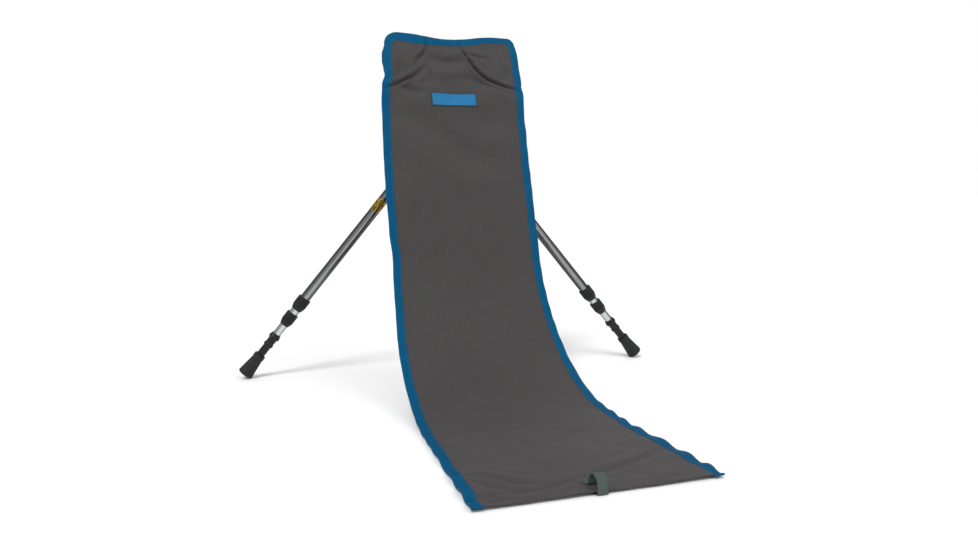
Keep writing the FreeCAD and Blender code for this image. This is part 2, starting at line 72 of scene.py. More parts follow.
# The sling as it hangs, from the frame.
TOP_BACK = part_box("back_binding_left")[1]
FLOOR_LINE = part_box("seat_panel")[1].y
FRONT_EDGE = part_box("front_hem")[0].y
FRONT_HALF = -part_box("seat_binding_left")[0].x
TOP_HALF = 119 * MM   # half the width at the top edge
LEAN = math.radians(12)   # of the back, from upright
BINDING = 12.5 * MM   # width of the folded tape on each face
HEM = 24 * MM   # depth of the turned front hem

REACH = TOP_BACK.y - FLOOR_LINE
ARC = (REACH * math.cos(LEAN) - TOP_BACK.z * math.sin(LEAN)) / (1 - math.sin(LEAN))
STRAIGHT = (TOP_BACK.z - ARC * (1 - math.sin(LEAN))) / math.cos(LEAN)
ARC_LENGTH = ARC * (math.pi / 2 - LEAN)
LENGTH = STRAIGHT + ARC_LENGTH + FLOOR_LINE - FRONT_EDGE


# --- settings --------------------------------------------------------------------------------

class ChairSling(bpy.types.PropertyGroup):
    """Cloth, binding and pockets."""
    cloth_thick: FloatProperty(name="Cloth", description="Thickness of the body cloth with its lining",
                               default=0.9 * MM, unit="LENGTH")
    top_sag: FloatProperty(name="Top sag", description="How far the top edge hangs down between its corners",
                           default=9.5 * MM, unit="LENGTH")
    left_corner: FloatProperty(name="Left corner", description="Radius of the bound top left corner",
                               default=25 * MM, unit="LENGTH")
    right_corner: FloatProperty(name="Right corner", description="Radius of the bound top right corner",
                                default=14 * MM, unit="LENGTH")
    tape_thick: FloatProperty(name="Tape", description="Thickness over the folded binding tape",
                              default=2.6 * MM, unit="LENGTH")
    stitch_pitch: FloatProperty(name="Stitch pitch", description="From one stitch to the next",
                                default=3.2 * MM, unit="LENGTH")
    stitch_length: FloatProperty(name="Stitch length", description="Thread that shows in one stitch",
                                 default=2.3 * MM, unit="LENGTH")
    thread: FloatProperty(name="Thread", description="Diameter of the sewing thread",
                          default=0.5 * MM, unit="LENGTH")
    cloth_colour: FloatVectorProperty(name="Cloth colour", description="Body cloth", subtype="COLOR",
                                      default=(0.052, 0.0465, 0.0475))
    tape_colour: FloatVectorProperty(name="Binding colour", description="Edge binding tape", subtype="COLOR",
                                     default=(0.0, 0.09, 0.205))
    loop_colour: FloatVectorProperty(name="Loop colour", description="Tie loop webbing", subtype="COLOR",
                                     default=(0.075, 0.105, 0.096))
    label_colour: FloatVectorProperty(name="Label colour", description="Woven label", subtype="COLOR",
                                      default=(0.0, 0.17, 0.38))


class ChairPoles(bpy.types.PropertyGroup):
    """Poles, collars and feet."""
    facets: IntProperty(name="Facets", description="Facets round a turned piece", default=72, min=24)
    collar_ribs: IntProperty(name="Collar ribs", description="Ribs round a collar", default=16, min=6)
    tube_colour: FloatVectorProperty(name="Upper tube", description="Anodised upper tube", subtype="COLOR",
                                     default=(0.34, 0.36, 0.365))
    bare_colour: FloatVectorProperty(name="Inner tubes", description="Bright inner tubes", subtype="COLOR",
                                     default=(0.62, 0.67, 0.66))
    mark_colour: FloatVectorProperty(name="Ring mark", description="Printed ring on the upper tube",
                                     subtype="COLOR", default=(0.5, 0.33, 0.05))
    plastic_colour: FloatVectorProperty(name="Plastic", description="Collars, ferrules and caps",
                                        subtype="COLOR", default=(0.009, 0.0095, 0.0105))


class ChairStage(bpy.types.PropertyGroup):
    """Camera and light."""
    azimuth: FloatProperty(name="Azimuth", description="Camera round the chair", subtype="ANGLE",
                           default=math.radians(-15.97))
    elevation: FloatProperty(name="Elevation", description="Camera above the horizon", subtype="ANGLE",
                             default=math.radians(4.96))
    roll: FloatProperty(name="Roll", description="Camera about its own axis", subtype="ANGLE",
                        default=math.radians(-0.72))
    distance: FloatProperty(name="Distance", description="Camera to the point it turns round",
                            default=1.26, unit="LENGTH")
    lens: FloatProperty(name="Lens", description="Focal length in millimetres", default=25.97)
    shift_x: FloatProperty(name="Shift X", description="Sideways shift of the picture", default=0.0365)
    shift_y: FloatProperty(name="Shift Y", description="Upward shift of the picture", default=-0.0141)
    ambient: FloatProperty(name="Ambient", description="Strength of the white surroundings", default=0.5)
    key: FloatProperty(name="Key", description="Strength of the key light", default=1.7)
    fill: FloatProperty(name="Fill", description="Strength of the fill light", default=0.7)


SETTINGS = {"chair_sling": ChairSling, "chair_poles": ChairPoles, "chair_stage": ChairStage}


def sling():
    return bpy.context.scene.chair_sling


def poles():
    return bpy.context.scene.chair_poles


# --- meshes ----------------------------------------------------------------------------------

def add_object(name, mesh, material=None):
    piece = bpy.data.objects.new(name, mesh)
    bpy.context.scene.collection.objects.link(piece)
    if material is not None:
        mesh.materials.append(material)
    return piece


def smooth(mesh, angle=35):
    mesh.polygons.foreach_set("use_smooth", [True] * len(mesh.polygons))
    mesh.set_sharp_from_angle(angle=math.radians(angle))


def grid_mesh(name, points, uv=None, close_rows=False, close_columns=False, caps=False):
    """A mesh over an array of points, rows by columns; closed round either, or capped, if asked."""
    rows, columns = points.shape[:2]
    index = np.arange(rows * columns).reshape(rows, columns)
    down = np.vstack([index, index[:1]]) if close_rows else index
    whole = np.hstack([down, down[:, :1]]) if close_columns else down
    quads = np.stack([whole[:-1, :-1], whole[:-1, 1:], whole[1:, 1:], whole[1:, :-1]], -1).reshape(-1, 4)
    ends = [index[0, ::-1].tolist(), index[-1].tolist()] if caps else []
    mesh = bpy.data.meshes.new(name)
    mesh.from_pydata(points.reshape(-1, 3).tolist(), [], quads.tolist() + ends)
    if uv is not None:
        layer = mesh.uv_layers.new(name="cloth")
        corners = np.empty(len(mesh.loops), dtype=int)
        mesh.loops.foreach_get("vertex_index", corners)
        layer.data.foreach_set("uv", uv.reshape(-1, 2)[corners].ravel())
    return mesh


def finished(piece):
    """Turn a piece with modifiers into a plain mesh."""
    graph = bpy.context.evaluated_depsgraph_get()
    mesh = bpy.data.meshes.new_from_object(piece.evaluated_get(graph))
    piece.modifiers.clear()
    old, piece.data = piece.data, mesh
    mesh.name = piece.name
    if old.users == 0:
        bpy.data.meshes.remove(old)
    return piece


def thicken(piece, thickness):
    wall = piece.modifiers.new("wall", "SOLIDIFY")
    wall.thickness = thickness
    wall.offset = 0.0
    wall.use_even_offset = True
    return finished(piece)


def recalculate(mesh):
    """Turn every face outwards."""
    work = bmesh.new()
    work.from_mesh(mesh)
    bmesh.ops.recalc_face_normals(work, faces=work.faces)
    work.to_mesh(mesh)
    work.free()


def tube_of_sections(name, sections, uv=None):
    """A closed skin through sections, with flat ends. sections is stations by points by 3."""
    mesh = grid_mesh(name, sections, uv, close_columns=True, caps=True)
    recalculate(mesh)
    return mesh


def fasten(piece, body, slot_name, *nodes):
    """Let a piece move with a body, in the place of the frame's nodes that it shows."""
    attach(piece, body)
    if nodes:
        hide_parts(*nodes)
    return piece


def unit(vectors):
    """Vectors along the last axis, each made one long."""
    return vectors / np.linalg.norm(vectors, axis=-1, keepdims=True)


# --- the shape of the hanging cloth -------------------------------------------------------------
# A place on the cloth is (across, along): metres to the right of its middle line, and metres from
# the top edge, measured on the flat cloth. Folds are given in millimetres on the flat cloth.

class Fold:
    """A valley, or with a positive height a ridge, along a line on the cloth."""

    def __init__(self, points, height, width, beside=0.0):
        self.points = np.array(points, float) * MM
        self.height = height * MM
        self.width = width * MM
        self.beside = beside

    def lift(self, across, along):
        nearest = np.full(across.shape, 1e9)
        place = np.zeros(across.shape)
        steps = np.linalg.norm(np.diff(self.points, axis=0), axis=1)
        total, done = steps.sum(), 0.0
        for start, stop, step in zip(self.points[:-1], self.points[1:], steps):
            run = (stop - start) / step
            part = np.clip((across - start[0]) * run[0] + (along - start[1]) * run[1], 0, step)
            gap = np.hypot(across - start[0] - run[0] * part, along - start[1] - run[1] * part)
            closer = gap < nearest
            place = np.where(closer, done + part, place)
            nearest = np.where(closer, gap, nearest)
            done += step
        fade = np.sin(np.clip(place / total, 0.04, 0.96) * math.pi) ** 0.6
        ratio = nearest / self.width
        shape = np.exp(-ratio ** 2) - self.beside * np.exp(-((ratio - 2.4) / 1.1) ** 2)
        return self.height * fade * shape


# Folds on the back: the creases that the seams of the rear pockets pull, their branches, and the soft
# hollows and ridges between and below them.
BACK_FOLDS = [
    Fold([(-44, 8), (-46, 24), (-52, 34), (-61, 43), (-67, 57)], -4.2, 3.0, 0.4),
    Fold([(-49, 56), (-63, 69), (-75, 78), (-92, 87), (-122, 101)], -5.6, 2.6, 0.45),
    Fold([(-48, 62), (-60, 74), (-76, 86)], -3.2, 2.5, 0.2),
    Fold([(14, 8), (17, 22), (24, 32), (37, 55), (48, 68), (61, 78), (77, 85), (92, 91), (122, 98)],
         -5.4, 2.5, 0.45),
    Fold([(22, 29), (44, 35), (68, 42)], -2.6, 2.8, 0.35),
    Fold([(-44, 40), (-11, 46), (26, 41)], -3.8, 8, 0.2),
    Fold([(-36, 30), (-10, 31), (14, 29)], 1.6, 8),
    Fold([(-40, 62), (-8, 68), (30, 62)], 3.0, 11),
    Fold([(14, 74), (36, 80), (60, 92)], -3.0, 6, 0.2),
    Fold([(-46, 66), (-40, 80), (-58, 92)], -3.0, 6, 0.2),
    Fold([(86, 54), (92, 66), (86, 84)], -2.8, 7, 0.2),
    Fold([(100, 40), (102, 60)], 1.8, 7),
    Fold([(-96, 46), (-92, 66), (-100, 84)], -3.4, 6, 0.3),
    Fold([(-112, 34), (-104, 50), (-112, 70)], 2.2, 7),
    Fold([(-84, 26), (-78, 44), (-84, 62)], 2.0, 9),
    Fold([(-110, 92), (-88, 99), (-64, 104), (-46, 100)], -3.0, 5, 0.3),
    Fold([(-118, 122), (-60, 128), (20, 126), (116, 112)], 2.8, 13),
    Fold([(40, 98), (80, 104), (118, 112)], 2.2, 8),
    Fold([(-8, 148), (50, 156), (116, 156)], -2.8, 16, 0.2),
    Fold([(-118, 134), (-70, 150), (-20, 184), (26, 222), (104, 218)], -4.8, 18, 0.3),
    Fold([(-112, 196), (-46, 232), (10, 262), (112, 262)], 2.4, 24),
    Fold([(-122, 300), (-70, 318), (-10, 330)], -1.6, 26),
    Fold([(20, 352), (80, 340), (124, 330)], -1.4, 24),
    Fold([(100, 236), (124, 242)], -1.6, 7, 0.3),
    Fold([(100, 262), (126, 268)], -1.4, 7, 0.3),
]

# Folds on the seat: the puckered line of the front hem, which runs off to the right as a crease, and the
# short folds round the front left corner.
SEAT_FOLDS = [
    Fold([(-140, 950), (-108, 946), (-86, 949), (-40, 944), (-6, 931)], -1.5, 4.2, 0.4),
    Fold([(-4, 931), (28, 922), (82, 904), (118, 884)], -1.6, 5, 0.5),
    Fold([(-134, 886), (-104, 900), (-78, 924), (-56, 938)], -1.3, 5, 0.4),
    Fold([(-126, 906), (-104, 932), (-84, 948)], -1.3, 5, 0.4),
    Fold([(-132, 955), (-122, 962), (-100, 960)], -1.0, 4, 0.4),
    Fold([(-120, 925), (-118, 944)], -1.0, 5, 0.4),
    Fold([(96, 868), (112, 852)], -1.2, 7, 0.4),
    Fold([(60, 952), (120, 940)], 0.9, 12),
    Fold([(-60, 868), (0, 880), (60, 862)], 1.0, 22),
    Fold([(-90, 800), (-20, 812), (60, 796), (120, 806)], -1.0, 26),
    Fold([(-96, 716), (-20, 722), (70, 708)], 1.0, 30),
]


def soft_noise(across, along, seed, sizes, count=9):
    """A sum of slow waves in fixed random directions, from -1 to 1."""
    source = np.random.default_rng(seed)
    total = np.zeros(np.shape(across))
    for _ in range(count):
        length = source.uniform(*sizes) * MM
        heading = source.uniform(0, math.pi)
        phase = source.uniform(0, 2 * math.pi)
        distance = across * math.cos(heading) + along * math.sin(heading)
        total = total + np.sin(distance * 2 * math.pi / length + phase)
    return total / count


# How far each side edge stands out from its straight line at a distance from the top edge, millimetres.
EDGE_OUT = {
    -1: [(0, 0), (25, -2), (40, 1.8), (53, 2.4), (66, 0), (76, -1.4), (95, 4.2), (119, 5.4), (190, 5.2),
         (270, 3.6), (340, 0), (390, -4.6), (456, -3.6), (560, 0), (960, 0)],
    1: [(0, 0), (29, 2.6), (46, 3.4), (65, 2.8), (84, 3), (91, 1.6), (100, 3), (130, 1), (200, 0), (960, 0)],
}


def edge_out(along, side):
    """How far a side edge stands out, eased between its stations."""
    table = np.array(EDGE_OUT[side], float) * MM
    at = np.clip(along, table[0, 0], table[-1, 0])
    after = np.clip(np.searchsorted(table[:, 0], at, side="right"), 1, len(table) - 1)
    start, stop = table[after - 1, 0], table[after, 0]
    low, high = table[after - 1, 1], table[after, 1]
    part = (at - start) / (stop - start)
    return low + (high - low) * (3 - 2 * part) * part ** 2


def corner_radius(side):
    return sling().left_corner if side < 0 else sling().right_corner


def straight_half(along):
    return TOP_HALF + (FRONT_HALF - TOP_HALF) * np.clip(along / LENGTH, 0, 1)


def half_width(along, side):
    """From the middle line to a side edge, with its top corner rounded."""
    bend = corner_radius(side)
    into = np.clip(bend - along, 0, bend)
    return straight_half(along) + edge_out(along, side) - bend + np.sqrt(bend ** 2 - into ** 2)


def side_view(along):
    """Y, Z and the rise of the hanging cloth at a distance from its top edge."""
    on_straight = np.minimum(along, STRAIGHT)
    rise = math.pi / 2 - LEAN - np.clip((along - STRAIGHT) / ARC, 0, math.pi / 2 - LEAN)
    on_floor = np.maximum(along - STRAIGHT - ARC_LENGTH, 0)
    back = TOP_BACK.y - on_straight * math.sin(LEAN) - ARC * (math.cos(LEAN) - np.sin(rise)) - on_floor
    up = TOP_BACK.z - on_straight * math.cos(LEAN) - ARC * (np.cos(rise) - math.sin(LEAN))
    return back, up, rise


def past_crease(across, along, start, stop, depth):
    """0 at a pocket's seam, 1 at the corner beyond it. start and stop are on the seam, millimetres."""
    line = (np.array(stop, float) - np.array(start, float)) * MM
    line = line / np.linalg.norm(line)
    gap = (across - start[0] * MM) * line[1] - (along - start[1] * MM) * line[0]
    return np.clip(gap / (depth * MM), 0, 1.15)


def cloth_lift(across, along):
    """How far the cloth stands off its smooth shape, towards the sitter."""
    lift = np.zeros(np.shape(across))
    for fold in BACK_FOLDS + SEAT_FOLDS:
        lift = lift + fold.lift(across, along)
    # Slack waves, long and short, deeper near the top.
    high = np.exp(-(along / (260 * MM)) ** 2)
    lift = lift + soft_noise(across, along, 3, (70, 190)) * (1.6 + 2.4 * high) * MM
    lift = lift + soft_noise(across, along, 8, (24, 60)) * (0.5 + 0.6 * high) * MM
    # Puckers where the binding gathers each side edge, deeper along the seat.
    rim = np.exp(-((straight_half(along) - np.abs(across)) / (13 * MM)) ** 2)
    pucker = np.sin(along / (6.5 * MM) + np.sign(across) * 1.7 + 2 * np.sin(along / (39 * MM)))
    seat = np.clip((along - 780 * MM) / (100 * MM), 0, 1)
    return lift + rim * pucker * (0.7 + 0.4 * seat) * MM


def place(across, along):
    """The point of the hanging cloth at a place on the flat cloth."""
    across, along = np.broadcast_arrays(np.asarray(across, float), np.asarray(along, float))
    # The top edge sags most a little to one side of the middle.
    beside = np.clip(np.abs(across + 8 * MM) / (95 * MM), 0, 1)
    sag = sling().top_sag * np.cos(beside * math.pi / 2) ** 2 * np.exp(-np.maximum(along, 0) / (70 * MM))
    back, up, rise = side_view(along + sag)
    lift = cloth_lift(across, along)
    low = np.clip((along - (STRAIGHT + 0.8 * ARC_LENGTH)) / (0.2 * ARC_LENGTH), 0, 1)
    lift = lift * (1 - low) + np.maximum(1.9 * lift + 2.5 * MM, 0) * low
    off = sling().tape_thick / 2 + lift
    # Beyond its pocket's seam, each corner leans back.
    right = past_crease(across, along, (17, 22), (108, 95), 62)
    left = past_crease(across, along, (-114, 98), (-45, 24), 72)
    back = back + (9 * right ** 1.3 + 7 * left ** 1.3) * MM
    return np.stack([across, back - np.sin(rise) * off, up + np.cos(rise) * off], -1)


def front_normal(across, along):
    """The cloth's normal towards the sitter."""
    step = 1.2 * MM
    over = place(across + step, along) - place(across - step, along)
    down = place(across, along + step) - place(across, along - step)
    normal = unit(np.cross(down, over))
    return normal * np.where(normal[..., 2:3] - normal[..., 1:2] < 0, -1, 1)


def shifted(across, along):
    """Across, with the cloth near each side edge moved out with that edge."""
    share = np.clip(np.abs(across) / TOP_HALF, 0, 1) ** 3
    return across + share * np.where(across < 0, -edge_out(along, -1), edge_out(along, 1))


def cloth_point(across, along):
    return place(shifted(across, along), along)


def off_cloth(across, along, above):
    """A point off the cloth's true surface by a distance along its normal."""
    return cloth_point(across, along) + front_normal(shifted(across, along), along) * above[..., None]


def blend_over_fold(piece):
    """Bake the piece's placement into its mesh."""
    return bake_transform(piece)


# --- materials -------------------------------------------------------------------------------

class Nodes:
    """A short way to write a material's nodes."""

    def __init__(self, name):
        self.material = bpy.data.materials.get(name) or bpy.data.materials.new(name)
        self.material.use_nodes = True
        self.tree = self.material.node_tree
        self.tree.nodes.clear()
        self.shader = self.add("ShaderNodeBsdfPrincipled")
        output = self.add("ShaderNodeOutputMaterial")
        self.join(self.shader.outputs[0], output.inputs[0])

    def add(self, kind, **values):
        node = self.tree.nodes.new(kind)
        for key, value in values.items():
            if key in node.bl_rna.properties:
                setattr(node, key, value)
            else:
                node.inputs[key.replace("_", " ")].default_value = value
        return node

    def join(self, source, target):
        self.tree.links.new(source, target)

    def set(self, **values):
        for key, value in values.items():
            self.shader.inputs[key.replace("_", " ")].default_value = value

    def coordinates(self, uv=False, scale=(1, 1, 1)):
        source = self.add("ShaderNodeUVMap", uv_map="cloth") if uv else self.add("ShaderNodeTexCoord")
        mapping = self.add("ShaderNodeMapping")
        mapping.inputs["Scale"].default_value = scale
        self.join(source.outputs["UV" if uv else "Object"], mapping.inputs["Vector"])
        return mapping.outputs[0]

    def noise(self, vector, scale, detail=3.0, roughness=0.55):
        node = self.add("ShaderNodeTexNoise")
        node.inputs["Scale"].default_value = scale
        node.inputs["Detail"].default_value = detail
        node.inputs["Roughness"].default_value = roughness
        self.join(vector, node.inputs["Vector"])
        return node.outputs["Fac"]

    def bands(self, vector, scale, direction="X", distortion=0.0):
        node = self.add("ShaderNodeTexWave", wave_type="BANDS", bands_direction=direction)
        node.inputs["Scale"].default_value = scale
        node.inputs["Distortion"].default_value = distortion
        node.inputs["Detail Scale"].default_value = 2.0
        self.join(vector, node.inputs["Vector"])
        return node.outputs["Fac"]

    def math(self, operation, first, second=0):
        node = self.add("ShaderNodeMath", operation=operation)
        for socket, value in zip(node.inputs, (first, second)):
            if isinstance(value, (int, float)):
                socket.default_value = value
            else:
                self.join(value, socket)
        return node.outputs[0]

    def blend(self, *shares):
        """The sum of values, each times its share."""
        parts = [self.math("MULTIPLY", value, share) for value, share in shares]
        total = parts[0]
        for part in parts[1:]:
            total = self.math("ADD", total, part)
        return total

    def ramp(self, source, stops):
        node = self.add("ShaderNodeValToRGB")
        ramp = node.color_ramp
        while len(ramp.elements) < len(stops):
            ramp.elements.new(0.5)
        for element, (position, colour) in zip(ramp.elements, stops):
            element.position = position
            element.color = (*colour, 1)
        self.join(source, node.inputs[0])
        return node.outputs[0]

    def bump(self, height, distance, strength=1.0, normal=None):
        node = self.add("ShaderNodeBump")
        node.inputs["Distance"].default_value = distance
        node.inputs["Strength"].default_value = strength
        self.join(height, node.inputs["Height"])
        if normal is not None:
            self.join(normal, node.inputs["Normal"])
        return node.outputs[0]

    def finish(self, colour=None, roughness=None, normal=None):
        for value, socket in ((colour, "Base Color"), (roughness, "Roughness"), (normal, "Normal")):
            if value is not None:
                self.join(value, self.shader.inputs[socket])
        return self.material


def shade(colour, factor):
    return tuple(min(1.0, channel * factor) for channel in colour)


def cloth_material():
    """Woven nylon with fine ribs along its length, soft rubbed patches and a dull sheen."""
    nodes = Nodes("sling_cloth")
    colour = tuple(sling().cloth_colour)
    flat = nodes.coordinates(uv=True)
    ribs = nodes.bands(flat, 130, "X", 0.3)
    weft = nodes.bands(flat, 620, "Y", 0.4)
    warp = nodes.bands(flat, 620, "X", 0.4)
    slubs = nodes.noise(nodes.coordinates(uv=True, scale=(1, 0.06, 1)), 900, 2.0)
    patches = nodes.noise(flat, 14, 3.0)
    weave = nodes.math("MULTIPLY", weft, warp)
    tone = nodes.blend((ribs, 0.32), (slubs, 0.42), (patches, 0.26))
    base = nodes.ramp(tone, [(0.3, shade(colour, 0.8)), (0.5, colour), (0.72, shade(colour, 1.24))])
    rough = nodes.ramp(patches, [(0.3, (0.62,) * 3), (0.7, (0.76,) * 3)])
    fine = nodes.bump(weave, 0.00012, 0.7)
    coarse = nodes.bump(ribs, 0.00022, 0.6, fine)
    normal = nodes.bump(patches, 0.0012, 0.35, coarse)
    nodes.set(Sheen_Weight=0.08, Sheen_Roughness=0.5, Specular_IOR_Level=0.25)
    return nodes.finish(base, rough, normal)


def tape_material(name, colour, rib_scale=900):
    """Grosgrain tape: fine ribs across its width, a little fuzz, and the ribs' tops painted lighter as a
    painted highlight.
    """
    nodes = Nodes(name)
    flat = nodes.coordinates(uv=True)
    ribs = nodes.bands(flat, rib_scale, "Y", 0.6)
    fuzz = nodes.noise(flat, 1600, 2.0)
    wear = nodes.noise(flat, 38, 3.0)
    tone = nodes.blend((ribs, 0.45), (fuzz, 0.3), (wear, 0.25))
    # painted highlight on the ribs' tops and painted shade between them, mixed with fuzz and wear
    base = nodes.ramp(tone, [(0.2, shade(colour, 0.62)), (0.5, colour), (0.8, shade(colour, 1.45))])
    rough = nodes.ramp(wear, [(0.3, (0.55,) * 3), (0.7, (0.72,) * 3)])
    normal = nodes.bump(fuzz, 0.0002, 0.4, nodes.bump(ribs, 0.00018, 0.8))
    nodes.set(Specular_IOR_Level=0.1)
    return nodes.finish(base, rough, normal)


def thread_material(name, colour):
    nodes = Nodes(name)
    twist = nodes.bands(nodes.coordinates(), 2400, "DIAGONAL")
    base = nodes.ramp(twist, [(0.2, shade(colour, 0.7)), (0.8, shade(colour, 1.3))])
    nodes.set(Roughness=0.6)
    return nodes.finish(base, None, nodes.bump(twist, 0.0001, 0.5))


def label_material():
    """A plain woven label: a satin blue panel inside a dark frame."""
    nodes = Nodes("label_cloth")
    colour = tuple(sling().label_colour)
    flat = nodes.coordinates(uv=True)
    rows = nodes.bands(flat, 1500, "Y", 0.2)
    threads = nodes.bands(flat, 1500, "X", 0.2)
    uneven = nodes.noise(flat, 120, 3.0)
    weave = nodes.math("MULTIPLY", rows, threads)
    tone = nodes.blend((weave, 0.5), (uneven, 0.5))
    panel = nodes.ramp(tone, [(0.2, shade(colour, 0.8)), (0.6, colour), (0.9, shade(colour, 1.25))])
    axes = nodes.add("ShaderNodeSeparateXYZ")
    nodes.join(flat, axes.inputs[0])
    inside = []
    for axis, shift, half in (("X", 0.8 * MM, 38.2 * MM), ("Y", -0.6 * MM, 10.6 * MM)):
        away = nodes.math("ABSOLUTE", nodes.math("ADD", axes.outputs[axis], shift))
        inside.append(nodes.math("LESS_THAN", away, half))
    mix = nodes.add("ShaderNodeMix", data_type="RGBA")
    mix.inputs["A"].default_value = (0.03, 0.032, 0.036, 1)
    nodes.join(nodes.math("MULTIPLY", *inside), mix.inputs["Factor"])
    nodes.join(panel, mix.inputs["B"])
    nodes.set(Sheen_Weight=0.1, Specular_IOR_Level=0.3, Roughness=0.6)
    return nodes.finish(mix.outputs["Result"], None, nodes.bump(weave, 0.00012, 0.6))


# Painted reflections on a tube, from the middle of its face to its edge, standing in for studio lights and
# dark surroundings: (how far it turns away, share of its colour).
BRIGHT_PAINTED_REFLECTIONS = [(0.08, 1), (0.3, 0.8), (0.45, 0.5), (0.7, 0.3), (0.95, 0.12)]
DARK_PAINTED_REFLECTIONS = [(0.06, 1), (0.2, 0.62), (0.3, 0.2), (0.45, 0.42), (0.62, 0.08), (0.9, 0.04)]


def tube_material(name, colour, roughness, brushed=0.25, painted_reflections=BRIGHT_PAINTED_REFLECTIONS[:4]):
    """Anodised aluminium with faint handling wear, and painted reflections: its colour is bright where the
    tube faces the camera and darker towards its edges.
    """
    nodes = Nodes(name)
    place_on = nodes.coordinates()
    grain = nodes.noise(place_on, 900, 2.0)
    rub = nodes.noise(place_on, 26, 4.0, 0.65)
    facing = nodes.add("ShaderNodeLayerWeight")
    facing.inputs["Blend"].default_value = 0.5
    turn = nodes.math("ADD", facing.outputs["Facing"], nodes.math("MULTIPLY", rub, 0.08))
    # painted reflection: the colour follows how far the surface turns away from the camera, in place of
    # reflected studio lights
    base = nodes.ramp(turn, [(at, shade(colour, share)) for at, share in painted_reflections])
    rough = nodes.math("ADD", nodes.math("MULTIPLY", rub, brushed * 0.4), roughness - brushed * 0.2)
    nodes.set(Metallic=1.0)
    return nodes.finish(base, rough, nodes.bump(grain, 0.00003, 0.3))


def plastic_material(name, colour, roughness, grain_scale=1500, grain_depth=0.00006):
    """Moulded plastic or rubber with a fine spark-eroded grain and slightly polished high spots."""
    nodes = Nodes(name)
    place_on = nodes.coordinates()
    grain = nodes.noise(place_on, grain_scale, 3.0)
    scuffs = nodes.noise(place_on, 60, 4.0, 0.6)
    base = nodes.ramp(scuffs, [(0.35, colour), (0.75, shade(colour, 1.7))])
    rough = nodes.math("ADD", nodes.math("MULTIPLY", scuffs, 0.22), roughness - 0.1)
    nodes.set(Specular_IOR_Level=0.25)
    return nodes.finish(base, rough, nodes.bump(grain, grain_depth, 0.6))


def mark_material(colour):
    """A printed ring, worn through to the dark tube in patches."""
    nodes = Nodes("gold_mark")
    worn = nodes.noise(nodes.coordinates(), 330, 3.0, 0.6)
    dark = shade(colour, 0.05)
    nodes.set(Metallic=0.6, Roughness=0.3)
    return nodes.finish(nodes.ramp(worn, [(0.45, dark), (0.49, colour), (0.55, colour), (0.6, dark)]))


def foam_material():
    """Closed-cell grip foam: dull, pitted with tiny cells."""
    nodes = Nodes("grip_foam")
    place_on = nodes.coordinates()
    cells = nodes.add("ShaderNodeTexVoronoi")
    cells.inputs["Scale"].default_value = 1400
    nodes.join(place_on, cells.inputs["Vector"])
    wear = nodes.noise(place_on, 70, 3.0)
    base = nodes.ramp(wear, [(0.3, (0.018, 0.018, 0.019)), (0.75, (0.042, 0.041, 0.042))])
    nodes.set(Roughness=0.85, Specular_IOR_Level=0.25)
    return nodes.finish(base, None, nodes.bump(cells.outputs["Distance"], 0.0002, 0.7))


def floor_material():
    nodes = Nodes("studio_floor")
    nodes.set(Base_Color=(0.97, 0.97, 0.97, 1), Roughness=0.9, Specular_IOR_Level=0.1)
    return nodes.material


# --- repeats made with geometry nodes ------------------------------------------------------------

class Repeat:
    """A geometry node tree with named inputs, and what its nodes need."""

    def __init__(self, name, inputs):
        self.tree = bpy.data.node_groups.new(name, "GeometryNodeTree")
        faces = self.tree.interface
        faces.new_socket("Geometry", in_out="INPUT", socket_type="NodeSocketGeometry")
        self.identifiers = {}
        for label, kind in inputs.items():
            socket = faces.new_socket(label, in_out="INPUT", socket_type=kind)
            self.identifiers[label] = socket.identifier
        faces.new_socket("Geometry", in_out="OUTPUT", socket_type="NodeSocketGeometry")
        self.given = self.add("NodeGroupInput")
        self.output = self.add("NodeGroupOutput")

    def add(self, kind, **values):
        node = self.tree.nodes.new(kind)
        for key, value in values.items():
            setattr(node, key, value)
        return node

    def join(self, source, target):
        self.tree.links.new(source, target)

    def apply(self, piece, **values):
        modifier = piece.modifiers.new(self.tree.name, "NODES")
        modifier.node_group = self.tree
        for label, value in values.items():
            modifier[self.identifiers[label.replace("_", " ")]] = value
        return finished(piece)


def stitch_tree():
    """Small threads laid end to end along a curve."""
    repeat = Repeat("sewn_line", {"Pitch": "NodeSocketFloat", "Length": "NodeSocketFloat",
                                  "Thread": "NodeSocketFloat", "Material": "NodeSocketMaterial"})
    given = repeat.given.outputs
    curve = repeat.add("GeometryNodeMeshToCurve")
    repeat.join(given["Geometry"], curve.inputs["Mesh"])
    spaced = repeat.add("GeometryNodeResampleCurve", mode="LENGTH")
    repeat.join(curve.outputs[0], spaced.inputs["Curve"])
    repeat.join(given["Pitch"], spaced.inputs["Length"])
    tangent = repeat.add("GeometryNodeInputTangent")
    turn = repeat.add("FunctionNodeAlignRotationToVector", axis="Z")
    repeat.join(tangent.outputs[0], turn.inputs["Vector"])
    ball = repeat.add("GeometryNodeMeshUVSphere")
    ball.inputs["Segments"].default_value = 6
    ball.inputs["Rings"].default_value = 4
    ball.inputs["Radius"].default_value = 0.5
    size = repeat.add("ShaderNodeCombineXYZ")
    for axis, label in (("X", "Thread"), ("Y", "Thread"), ("Z", "Length")):
        repeat.join(given[label], size.inputs[axis])
    copies = repeat.add("GeometryNodeInstanceOnPoints")
    repeat.join(spaced.outputs[0], copies.inputs["Points"])
    repeat.join(ball.outputs[0], copies.inputs["Instance"])
    repeat.join(turn.outputs[0], copies.inputs["Rotation"])
    repeat.join(size.outputs[0], copies.inputs["Scale"])
    real = repeat.add("GeometryNodeRealizeInstances")
    coloured = repeat.add("GeometryNodeSetMaterial")
    repeat.join(copies.outputs[0], real.inputs[0])
    repeat.join(real.outputs[0], coloured.inputs["Geometry"])
    repeat.join(given["Material"], coloured.inputs["Material"])
    repeat.join(coloured.outputs[0], repeat.output.inputs[0])
    return repeat


